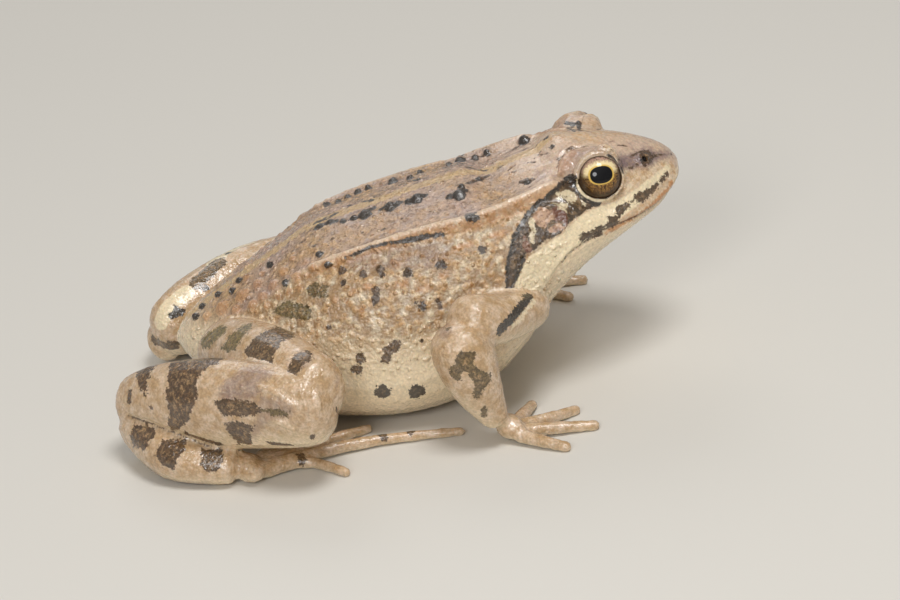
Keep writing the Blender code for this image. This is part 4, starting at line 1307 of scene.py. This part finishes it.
def mark_distances(skin):
    """Distances from the marks, negative inside them, with how black and ragged the nearest dark mark is."""
    count = len(skin.points)
    fields = {name: np.full(count, FAR) for name in ("dark", "cream", "plum", "ear", "lip", "rusty")}
    fields.update(tone=np.full(count, BROWN), **{name: np.zeros(count) for name in (
        "ragged", "ear_tone", "solid", "depth", "shade")})
    turned_in = (skin.normals @ CAMERA_BACK) > 0.1
    seen_left_leg = turned_in & (skin.sides == "left") & np.isin(skin.names, ["thigh", "shank", "tarsus"])

    def mark(field, distance, there, over=False, **values):
        closer = there & ((distance < fields[field]) | (over & (distance < 0)))
        fields[field][closer] = distance[closer]
        for name, value in values.items():
            fields[name][closer] = value

    def mirrored(part):
        return skin.is_on(part) & ~seen_left_leg

    def from_path(path, part, reach):
        return path_distance(skin.twins, skin.path(path, part)) - reach

    s, y, z = skin.straight.T
    chin = skin.is_on("body") & (s > MOUTH_CORNER + 3) & (z < smooth_curve(MOUTH, s) - 1.2)
    for name, (part, tone, outline) in DARK_PATCHES.items():
        ragged = 0.45 if name == "temple mask" else 0.85
        distance = outline_distance(skin.pixels, outline)
        mark("dark", distance, mirrored(part) & ~chin, tone=tone, ragged=ragged)
    for part, tone, reach, paths in DARK_STROKES.values():
        for path in paths:
            mark("dark", from_path(path, part, reach), mirrored(part), over=True, tone=tone,
                 ragged=min(1.0, 1.4 * reach))
    for side, radius, height, tone, spots in WARTS.values():
        for spot in spots:
            distance = skin.spot_distance(side, spot) - radius * 0.9
            mark("dark", distance, skin.is_on("body"), tone=tone, ragged=0.6)
    for radius, height, spots in PALE_WARTS.values():
        for spot in spots:
            mark("rusty", from_path([spot], "body", 0.8 * radius), skin.is_on("body"), depth=0.35)
    for outline in RUST_PATCHES.values():
        mark("rusty", outline_distance(skin.pixels, outline), skin.is_on("body"), depth=0.4)
    for reach, depth, paths in RUST_STROKES.values():
        for path in paths:
            mark("rusty", from_path(path, "body", reach), skin.is_on("body"), depth=depth)
    left_side = {"leg": seen_left_leg, "head": skin.is_on("body") & (y > 0)}
    for where, tone, reach, paths in LEFT_STROKES.values():
        for path in paths:
            distance = path_distance(skin.points, skin.path(path, "limb")) - reach
            mark("dark", distance, left_side[where], tone=tone, ragged=0.8)
    mark("lip", outline_distance(skin.pixels, LIP_STRIPE), skin.is_on("body"))
    for path in LEFT_LEG_CREAM:
        distance = path_distance(skin.points, skin.path(path, "limb")) - LEFT_CREAM_WIDTH
        mark("lip", distance, seen_left_leg)
    for outline in CREAM_PATCHES.values():
        mark("cream", outline_distance(skin.pixels, outline), mirrored("body"))
    for part, reach, paths in CREAM_STROKES.values():
        for path in paths:
            mark("cream", from_path(path, part, reach), mirrored(part))
    for part, shade, outline in PLUM_PATCHES.values():
        mark("plum", outline_distance(skin.pixels, outline), mirrored(part), shade=shade)
    for part, reach, paths in SHADE_STROKES.values():
        for path in paths:
            mark("plum", from_path(path, part, reach), mirrored(part), shade=0.5)
    for tone, outline in EAR_PATCHES.values():
        mark("ear", outline_distance(skin.pixels, outline), skin.is_on("body"), ear_tone=tone)

    # The lids' edge: a dark line all round, partly the lid's own dark rim and partly painted shade of the lid
    # on the eye, and a cream crescent behind and below the eye.
    off, bearing = from_lid_edge(skin)
    behind = eased(bearing, *CRESCENT_START) * (1 - eased(bearing, *CRESCENT_END))
    fields["cream"][off < 1.0] = FAR
    at, half = CREAM_CRESCENT
    mark("cream", np.abs(off - at) - half * behind, behind > 0.2, solid=1.0)
    mark("dark", off - EDGE_LINE, off < FAR, over=True, tone=0.75, ragged=0.0)
    in_front = 1 - eased(np.abs((bearing + 170) % 360 - 180), *FRONT_END)
    at, half = FRONT_LINE
    mark("dark", np.abs(off - at) - half * in_front, in_front > 0.1, over=True, tone=0.9, ragged=0.2)
    # The nostrils' holes are painted black: painted shade inside them.
    distance, inward = nostril_distance(skin)
    mark("dark", distance - 0.38, skin.is_on("body"), over=True, tone=BLACK, ragged=0.0)
    # A dark line along the mouth: painted shade in its groove.
    from_mouth = np.abs(z - smooth_curve(MOUTH, s)) - 0.08
    mark("dark", from_mouth, skin.is_on("body") & (s > MOUTH_CORNER + 1), over=True, tone=0.55, ragged=0.15)
    return fields


def zone_amounts(skin):
    """How much each point is of the limbs and of the pale underside."""
    s, y, z = skin.straight.T
    trunk = skin.names == "body"
    limb = (~trunk).astype(float)
    low = 1 - eased(z, 9.5, 15.5)
    throat = 1 - eased(z - smooth_curve(MOUTH, s), -0.8, 0.2)
    head = eased(s, 42, 46)
    pale = np.where(trunk, low * (1 - head) + throat * head, 0.0)
    pale = np.maximum(pale, eased(-skin.normals[:, 2], 0.1, 0.7))
    columns = np.stack([limb, pale], 1)
    for _ in range(ZONE_ROUNDS):
        columns = (columns + neighbour_means(columns, skin.edges)) / 2
    return {"limb": columns[:, 0], "pale": columns[:, 1]}


def paint(skin_object, sizes):
    """Stores what the skin's material reads at each point."""
    skin = Skin(skin_object.data)
    s, y, z = skin.straight.T
    trunk = skin.is_on("body")
    fields = {**mark_distances(skin), **zone_amounts(skin), "grain": grain_amount(skin)}
    fields["granule"], fields["tint"] = granules(skin, sizes)
    fields["dorsal"] = np.where(trunk, np.clip(dorsal_distance(skin), -FAR, FAR), -FAR)
    fields["folded"] = trunk * eased(s, 14, 20) * (1 - eased(s, 49, 52))
    middle = smooth_curve(STRIPE_OFFSET, s)
    fields["midline"] = np.where(trunk & (z > 12), np.abs(y - middle) + 2 * eased(s, 50, 56), FAR)
    fields["head"] = np.where(trunk, eased(s, 43, 50), 0)
    for name, values in fields.items():
        store(skin_object.data, name, values)


# Materials.


def put(tree, kind, inputs=None, **settings):
    """Adds a node, with its settings and what its inputs take."""
    made = tree.nodes.new(kind)
    for name, value in settings.items():
        setattr(made, name, value)
    for key, value in (inputs or {}).items():
        socket = made.inputs[key]
        if isinstance(value, bpy.types.NodeSocket):
            tree.links.new(value, socket)
        else:
            socket.default_value = value
    return made


def calc(tree, operation, first, second=0.0, third=0.0):
    return put(tree, "ShaderNodeMath", {0: first, 1: second, 2: third}, operation=operation).outputs[0]


def step(tree, value, low, high):
    """0 at low, 1 at high, and smooth between them."""
    made = put(tree, "ShaderNodeMapRange", {"Value": value, "From Min": low, "From Max": high},
               interpolation_type="SMOOTHSTEP", clamp=True)
    return made.outputs["Result"]


def blend(tree, share, first, second, mode="MIX"):
    made = put(tree, "ShaderNodeMix", data_type="RGBA", blend_type=mode, clamp_factor=True)
    for index, value in ((0, share), (6, first), (7, second)):
        if isinstance(value, bpy.types.NodeSocket):
            tree.links.new(value, made.inputs[index])
        else:
            made.inputs[index].default_value = value if index == 0 else (*value, 1)
    return made.outputs[2]


def field(tree, name):
    return put(tree, "ShaderNodeAttribute", attribute_name=name).outputs["Fac"]


def cloud(tree, place, scale, detail=2.0, roughness=0.5):
    """Noise between 0 and 1, with scale given per millimetre."""
    made = put(tree, "ShaderNodeTexNoise", {"Vector": place, "Scale": scale, "Detail": detail,
                                            "Roughness": roughness})
    return made.outputs["Fac"]


def cells(tree, place, scale):
    """The distance from the middle of soft-edged cells, with scale given per millimetre."""
    made = put(tree, "ShaderNodeTexVoronoi", {"Vector": place, "Scale": scale, "Smoothness": 0.25},
               feature="SMOOTH_F1")
    return made.outputs["Distance"]


def new_material(name):
    material = bpy.data.materials.new(name)
    material.use_nodes = True
    tree = material.node_tree
    shader = tree.nodes["Principled BSDF"]
    coordinates = put(tree, "ShaderNodeTexCoord").outputs["Object"]
    scaled = put(tree, "ShaderNodeVectorMath", {0: coordinates, "Scale": 1 / MM}, operation="SCALE")
    return material, tree, shader, scaled.outputs[0]


def times(tree, *values):
    """The product of several values."""
    product = values[0]
    for value in values[1:]:
        product = calc(tree, "MULTIPLY", product, value)
    return product


def layer(tree, below, colour, *shares):
    """Lays a colour over what is below it, as densely as the product of the shares."""
    return blend(tree, times(tree, *shares), below, colour)


def inside(tree, name, edge, softness):
    """1 inside the marks of a field and 0 outside them, with an edge that wanders."""
    return step(tree, calc(tree, "ADD", field(tree, name), edge), softness, -softness)


def skin_material(colours):
    """Moist skin: zones, granules, marks with ragged edges, and a wet coat over the bumps."""
    material, tree, shader, place = new_material("frog_skin")
    grain = field(tree, "grain")
    granule = field(tree, "granule")
    tint = field(tree, "tint")
    broad = cloud(tree, place, 0.16, 3.0)
    middling = cloud(tree, place, 0.8, 3.0, 0.6)
    patchy = cloud(tree, place, 1.5, 4.0, 0.7)
    fine = cloud(tree, place, 3.2, 3.0, 0.65)
    tips = calc(tree, "MULTIPLY", step(tree, granule, 0.62, 0.15), grain)
    valleys = calc(tree, "MULTIPLY", step(tree, granule, 0.6, 1.0), grain)
    dorsal = field(tree, "dorsal")
    on_back = step(tree, dorsal, -0.5, 0.2)

    # Zones: back, flank, limbs and the pale underside.
    back = layer(tree, colours.back, colours.flank, step(tree, broad, 0.3, 0.7))
    back = layer(tree, back, colours.plum, step(tree, middling, 0.52, 0.62), 0.4)
    back = layer(tree, back, colours.brown, step(tree, patchy, 0.51, 0.61), 0.55)
    flank = layer(tree, colours.flank, colours.belly, step(tree, middling, 0.4, 0.7))
    flank = layer(tree, flank, colours.brown, step(tree, patchy, 0.54, 0.66), 0.35)
    skin = layer(tree, flank, back, on_back)
    rust_share = calc(tree, "MULTIPLY_ADD", on_back, -0.3, 0.6)
    # Pale tips on some granules: painted highlights that stand in for the glints on the wet granules.
    skin = layer(tree, skin, colours.limb_pale, step(tree, tint, 0.5, 0.4), tips, 0.5)
    skin = layer(tree, skin, colours.rust, step(tree, tint, 0.5, 0.6), tips, rust_share)
    # Brown in the valleys between the granules: painted shade in the hollows.
    skin = layer(tree, skin, colours.brown, valleys, 0.45)
    limb = layer(tree, colours.limb, colours.limb_pale, step(tree, middling, 0.3, 0.75))
    limb = layer(tree, limb, colours.flank, step(tree, patchy, 0.53, 0.65), 0.5)
    skin = layer(tree, skin, limb, field(tree, "limb"))
    skin = layer(tree, skin, colours.limb_pale, field(tree, "head"), step(tree, patchy, 0.35, 0.6), 0.7)
    skin = layer(tree, skin, colours.belly, field(tree, "pale"))

    # The crest is pale, partly its own colour and partly a painted highlight along its top, with a rust line
    # below it; the stripe runs along the middle of the back.
    folded = field(tree, "folded")
    wander = calc(tree, "MULTIPLY_ADD", middling, 0.5, -0.25)
    from_crest = calc(tree, "ADD", dorsal, wander)
    band = times(tree, step(tree, from_crest, 0.0, -0.3), step(tree, from_crest, -0.95, -0.5), folded)
    skin = layer(tree, skin, colours.rust, band, step(tree, patchy, 0.3, 0.55), 0.55)
    crest = step(tree, calc(tree, "ABSOLUTE", dorsal), 0.45, 0.1)
    skin = layer(tree, skin, colours.limb_pale, crest, folded, calc(tree, "MULTIPLY", patchy, 1.6))
    ragged = calc(tree, "MULTIPLY_ADD", patchy, 2.4, -1.2)
    stripe = step(tree, calc(tree, "ADD", field(tree, "midline"), ragged), 1.2, 0.8)
    skin = layer(tree, skin, colours.stripe, stripe, 0.75)

    # Marks, with edges that follow the noise: shades first, then dark ones, then the pale ones over them.
    edge = calc(tree, "ADD", calc(tree, "MULTIPLY_ADD", patchy, 1.9, -0.95),
                calc(tree, "MULTIPLY_ADD", fine, 0.6, -0.3))
    skin = layer(tree, skin, colours.cream, inside(tree, "lip", times(tree, edge, 0.4), 0.15), 0.9)
    rust = inside(tree, "rusty", times(tree, edge, 0.6), 0.2)
    skin = layer(tree, skin, colours.rust, rust, field(tree, "depth"))
    plum_share = calc(tree, "MULTIPLY_ADD", patchy, 2.2, -0.2)
    skin = layer(tree, skin, colours.plum, inside(tree, "plum", edge, 0.5), plum_share, field(tree, "shade"))
    tone = field(tree, "tone")
    ragged_edge = calc(tree, "MULTIPLY", edge, field(tree, "ragged"))
    dark = inside(tree, "dark", ragged_edge, 0.1)
    ink = layer(tree, colours.olive, colours.brown, step(tree, tone, 0.0, 0.5))
    ink = layer(tree, ink, colours.black, step(tree, tone, 0.5, 0.9))
    deep = step(tree, calc(tree, "ADD", field(tree, "dark"), ragged_edge), -0.08, -0.5)
    not_black = step(tree, tone, 1.0, 0.5)
    ink = layer(tree, ink, colours.flank, deep, step(tree, patchy, 0.48, 0.6), not_black, 0.55)
    ink = layer(tree, ink, colours.black, step(tree, fine, 0.55, 0.45), not_black, 0.5)
    skin = layer(tree, skin, ink, dark, 0.95)
    ear_share = calc(tree, "MULTIPLY_ADD", step(tree, patchy, 0.48, 0.6), 0.5, field(tree, "ear_tone"))
    ear_colour = layer(tree, colours.ear_pale, colours.ear_dark, ear_share)
    skin = layer(tree, skin, ear_colour, inside(tree, "ear", times(tree, edge, 0.5), 0.08), 0.92)
    solid = field(tree, "solid")
    cream = inside(tree, "cream", times(tree, edge, calc(tree, "MULTIPLY_ADD", solid, -0.7, 0.8)), 0.08)
    skin = layer(tree, skin, colours.cream, cream, calc(tree, "MULTIPLY_ADD", solid, 0.15, 0.8))

    # Fine mottling over all of it.
    pores = cells(tree, place, 2.6)
    shade = calc(tree, "MULTIPLY_ADD", fine, 0.7, calc(tree, "MULTIPLY_ADD", pores, -0.25, 0.8))
    grey = put(tree, "ShaderNodeCombineColor", {0: shade, 1: shade, 2: shade}).outputs[0]
    skin = blend(tree, 1.0, skin, grey, "MULTIPLY")
    tree.links.new(skin, shader.inputs["Base Color"])

    rough_skin = calc(tree, "MULTIPLY_ADD", grain, 0.6, 0.25)
    texture = calc(tree, "MULTIPLY_ADD", fine, 0.6, calc(tree, "MULTIPLY", pores, -0.4))
    height = calc(tree, "MULTIPLY_ADD", tips, 0.9, times(tree, texture, rough_skin))
    bump = put(tree, "ShaderNodeBump", {"Strength": 1.0, "Distance": 0.3 * MM, "Height": height})
    tree.links.new(bump.outputs[0], shader.inputs["Normal"])
    glossy_mark = times(tree, dark, step(tree, tone, 0.75, 0.95))
    rough = calc(tree, "MULTIPLY_ADD", patchy, 0.45, calc(tree, "MULTIPLY_ADD", grain, -0.1, -0.02))
    tree.links.new(calc(tree, "MAXIMUM", rough, 0.08), shader.inputs["Roughness"])
    shader.inputs["Specular IOR Level"].default_value = 1.0
    wet = calc(tree, "MULTIPLY_ADD", step(tree, middling, 0.45, 0.6), 0.35, times(tree, glossy_mark, 0.25))
    tree.links.new(wet, shader.inputs["Coat Weight"])
    shader.inputs["Coat Roughness"].default_value = 0.1
    shader.inputs["Subsurface Weight"].default_value = 0.06
    shader.inputs["Subsurface Scale"].default_value = 0.6 * MM
    return material


def make_skin(sizes, colours):
    skin = join_solids(sizes)
    settle(skin, sizes)
    sculpt(skin, sizes)
    thin_out(skin, sizes)
    paint(skin, sizes)
    skin.data.materials.clear()
    skin.data.materials.append(skin_material(colours))
    choose(skin)
    bpy.ops.object.shade_smooth()
    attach(skin, "root")
    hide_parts(*FLESH)


# The eyes.

# The pupil's half width and half height in millimetres, the power that rounds it, and its height over the
# eye's middle.
PUPIL = (1.4, 1.06)
PUPIL_POWER = 2.3
PUPIL_RISE = 0.22
PUPIL_BLACK = (0.002, 0.002, 0.003)
# Where the painted shade of the lids begins on the iris, in millimetres from the eye's middle.
SHADED_RIM_START = 2.3
CORNEA_RISE = 0.1


def eye_material(colours):
    """Iris and pupil, drawn by each point's place across the eye."""
    material, tree, shader, place = new_material("frog_eye")
    across = field(tree, "across")
    upward = calc(tree, "SUBTRACT", field(tree, "upward"), PUPIL_RISE)
    wide = calc(tree, "ABSOLUTE", calc(tree, "DIVIDE", across, PUPIL[0]))
    high = calc(tree, "ABSOLUTE", calc(tree, "DIVIDE", upward, PUPIL[1]))
    powers = [calc(tree, "POWER", value, PUPIL_POWER) for value in (wide, high)]
    oval = calc(tree, "POWER", calc(tree, "ADD", *powers), 1 / PUPIL_POWER)
    radius = calc(tree, "SQRT", calc(tree, "ADD", times(tree, across, across), times(tree, upward, upward)))

    # Fibres run outwards from the pupil: the noise changes fast round the eye and slowly along its radius.
    turn = put(tree, "ShaderNodeCombineXYZ", {0: calc(tree, "DIVIDE", across, radius),
                                              1: calc(tree, "DIVIDE", upward, radius),
                                              2: calc(tree, "MULTIPLY", radius, 0.3)}).outputs[0]
    fibres = cloud(tree, turn, 9.0, 3.0, 0.7)
    flecks = cloud(tree, place, 7.0, 3.0, 0.7)
    height = calc(tree, "ADD", upward, calc(tree, "MULTIPLY_ADD", fibres, 0.8, -0.4))
    speckle = calc(tree, "ADD", fibres, flecks)
    lower = layer(tree, colours.iris_dark, colours.amber, step(tree, speckle, 0.85, 1.12))
    lower = layer(tree, lower, colours.gold, step(tree, flecks, 0.56, 0.66), 0.8)
    upper = layer(tree, colours.iris_dark, colours.iris_rose, step(tree, speckle, 0.8, 1.1))
    iris = layer(tree, lower, upper, step(tree, height, 0.1, 0.7))
    # The iris's sides below its top are darkened: painted shade of the lids on the eye.
    sides = step(tree, calc(tree, "ABSOLUTE", across), 1.5, 2.3)
    iris = layer(tree, iris, colours.iris_dark, sides, step(tree, height, 0.9, 0.2), 0.6)
    from_pupil = calc(tree, "ADD", oval, calc(tree, "MULTIPLY_ADD", fibres, 1.2, -0.6))
    crescent = step(tree, from_pupil, 1.75, 1.35)
    iris = layer(tree, iris, colours.iris_pale, crescent, step(tree, height, -0.3, 0.5))
    # Darker towards the rim: painted shade of the lids.
    rim = step(tree, calc(tree, "MULTIPLY_ADD", flecks, 0.6, radius), SHADED_RIM_START, SHADED_RIM_START + 0.6)
    iris = layer(tree, iris, colours.iris_dark, rim, 0.9)
    iris = layer(tree, iris, colours.gold, step(tree, oval, 1.2, 1.1), step(tree, flecks, 0.3, 0.42))
    eye = layer(tree, iris, PUPIL_BLACK, step(tree, oval, 1.02, 0.98))
    tree.links.new(eye, shader.inputs["Base Color"])
    shader.inputs["Roughness"].default_value = 0.5
    shader.inputs["Specular IOR Level"].default_value = 0.1
    shader.inputs["Coat Weight"].default_value = 1.0
    shader.inputs["Coat Roughness"].default_value = 0.02
    shader.inputs["Coat IOR"].default_value = 1.37
    return material


def make_eye(side, material):
    """One eyeball with a slight bulge in front, its front turned out of the head."""
    place = EYE if side == "left" else on_right(EYE)
    facing = EYE_FACING if side == "left" else on_right(EYE_FACING)
    centre = box_middle("eye_" + side)
    out = direction_at(place[0], facing)
    level = np.cross(np.array([0, 0, 1.0]), out)
    level /= np.linalg.norm(level)
    upright = np.cross(out, level)
    bpy.ops.object.select_all(action="DESELECT")
    bpy.ops.mesh.primitive_uv_sphere_add(segments=96, ring_count=64, radius=EYE_RADIUS * MM)
    eye = bpy.context.active_object
    eye.name = "eyeball_" + side
    points = read_points(eye.data)
    heights = points[:, 2] / EYE_RADIUS
    points *= (1 + CORNEA_RISE / EYE_RADIUS * eased(heights, 0.35, 0.9))[:, None]
    store(eye.data, "across", points[:, 0])
    store(eye.data, "upward", points[:, 1])
    turned = np.outer(points[:, 0], level) + np.outer(points[:, 1], upright) + np.outer(points[:, 2], out)
    write_points(eye.data, turned + centre)
    eye.data.materials.append(material)
    bpy.ops.object.shade_smooth()
    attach(eye, "root")
    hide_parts("eye_" + side)


# The studio.


def aimed(obj, place, target):
    obj.location = Vector(place)
    obj.rotation_euler = (Vector(target) - Vector(place)).to_track_quat("-Z", "Y").to_euler()


def make_light(name, power, size, place):
    bpy.ops.object.light_add(type="AREA")
    light = bpy.context.active_object
    light.name = name
    light.data.energy = power
    light.data.shape = "DISK"
    light.data.size = size
    aimed(light, place, (0, 0, 0.01))


def make_stage(settings):
    bpy.ops.object.select_all(action="DESELECT")
    bpy.ops.mesh.primitive_plane_add(size=6.0)
    floor = bpy.context.active_object
    floor.name = "floor"
    material, tree, shader, place = new_material("floor")
    shader.inputs["Base Color"].default_value = (*settings.floor, 1)
    shader.inputs["Roughness"].default_value = 0.8
    floor.data.materials.append(material)
    make_light("key", settings.key, 0.2, (0.1, -0.14, 0.52))
    make_light("fill", settings.fill, 0.18, (-0.12, -0.46, 0.3))
    make_light("rim", settings.fill / 2, 0.3, (-0.1, 0.45, 0.4))
    world = bpy.data.worlds.new("studio")
    world.use_nodes = True
    world.node_tree.nodes["Background"].inputs["Color"].default_value = (1.0, 0.985, 0.96, 1)
    world.node_tree.nodes["Background"].inputs["Strength"].default_value = settings.sky
    bpy.context.scene.world = world
    bpy.context.scene.view_settings.view_transform = "Standard"

    lens = bpy.data.cameras.new("camera")
    lens.lens = LENS
    lens.sensor_width = SENSOR
    lens.clip_start = 0.01
    lens.clip_end = 20.0
    camera = bpy.data.objects.new("camera", lens)
    bpy.context.scene.collection.objects.link(camera)
    axes = Matrix([Vector(v) for v in (CAMERA_RIGHT, CAMERA_UP, CAMERA_BACK)]).transposed()
    camera.matrix_world = Matrix.Translation(Vector(CAMERA_PLACE) * MM) @ axes.to_4x4()
    bpy.context.scene.camera = camera


# The add-on's buttons.


class FROG_OT_skin(bpy.types.Operator):
    """Model the frog's skin over its solids"""

    bl_idname = "frog.skin"
    bl_label = "Skin"

    def execute(self, context):
        make_skin(context.scene.frog_sizes, context.scene.frog_colours)
        return {"FINISHED"}


class FROG_OT_eyes(bpy.types.Operator):
    """Model the frog's two eyes"""

    bl_idname = "frog.eyes"
    bl_label = "Eyes"

    def execute(self, context):
        material = eye_material(context.scene.frog_colours)
        for side in ("left", "right"):
            make_eye(side, material)
        return {"FINISHED"}


class FROG_OT_stage(bpy.types.Operator):
    """Set up the floor, the light and the camera"""

    bl_idname = "frog.stage"
    bl_label = "Stage"

    def execute(self, context):
        make_stage(context.scene.frog_stage)
        return {"FINISHED"}


class FROG_PT_panel(bpy.types.Panel):
    """Lists the frog's pieces"""

    bl_idname = "FROG_PT_panel"
    bl_label = "Frog"
    bl_space_type = "VIEW_3D"
    bl_region_type = "UI"
    bl_category = "Frog"

    def draw(self, context):
        for name in ("frog.skin", "frog.eyes", "frog.stage"):
            self.layout.operator(name)
        for group in (context.scene.frog_sizes, context.scene.frog_colours, context.scene.frog_stage):
            for name in group.bl_rna.properties.keys():
                if name not in ("rna_type", "name"):
                    self.layout.prop(group, name)


CLASSES = (FrogSizes, FrogColours, StageSettings, FROG_OT_skin, FROG_OT_eyes, FROG_OT_stage, FROG_PT_panel)


def register():
    for each in CLASSES:
        bpy.utils.register_class(each)
    bpy.types.Scene.frog_sizes = bpy.props.PointerProperty(type=FrogSizes)
    bpy.types.Scene.frog_colours = bpy.props.PointerProperty(type=FrogColours)
    bpy.types.Scene.frog_stage = bpy.props.PointerProperty(type=StageSettings)


def unregister():
    del bpy.types.Scene.frog_sizes
    del bpy.types.Scene.frog_colours
    del bpy.types.Scene.frog_stage
    for each in reversed(CLASSES):
        bpy.utils.unregister_class(each)


def main():
    register()
    bpy.ops.frog.skin()
    bpy.ops.frog.eyes()
    bpy.ops.frog.stage()


if __name__ == "__main__":
    main()
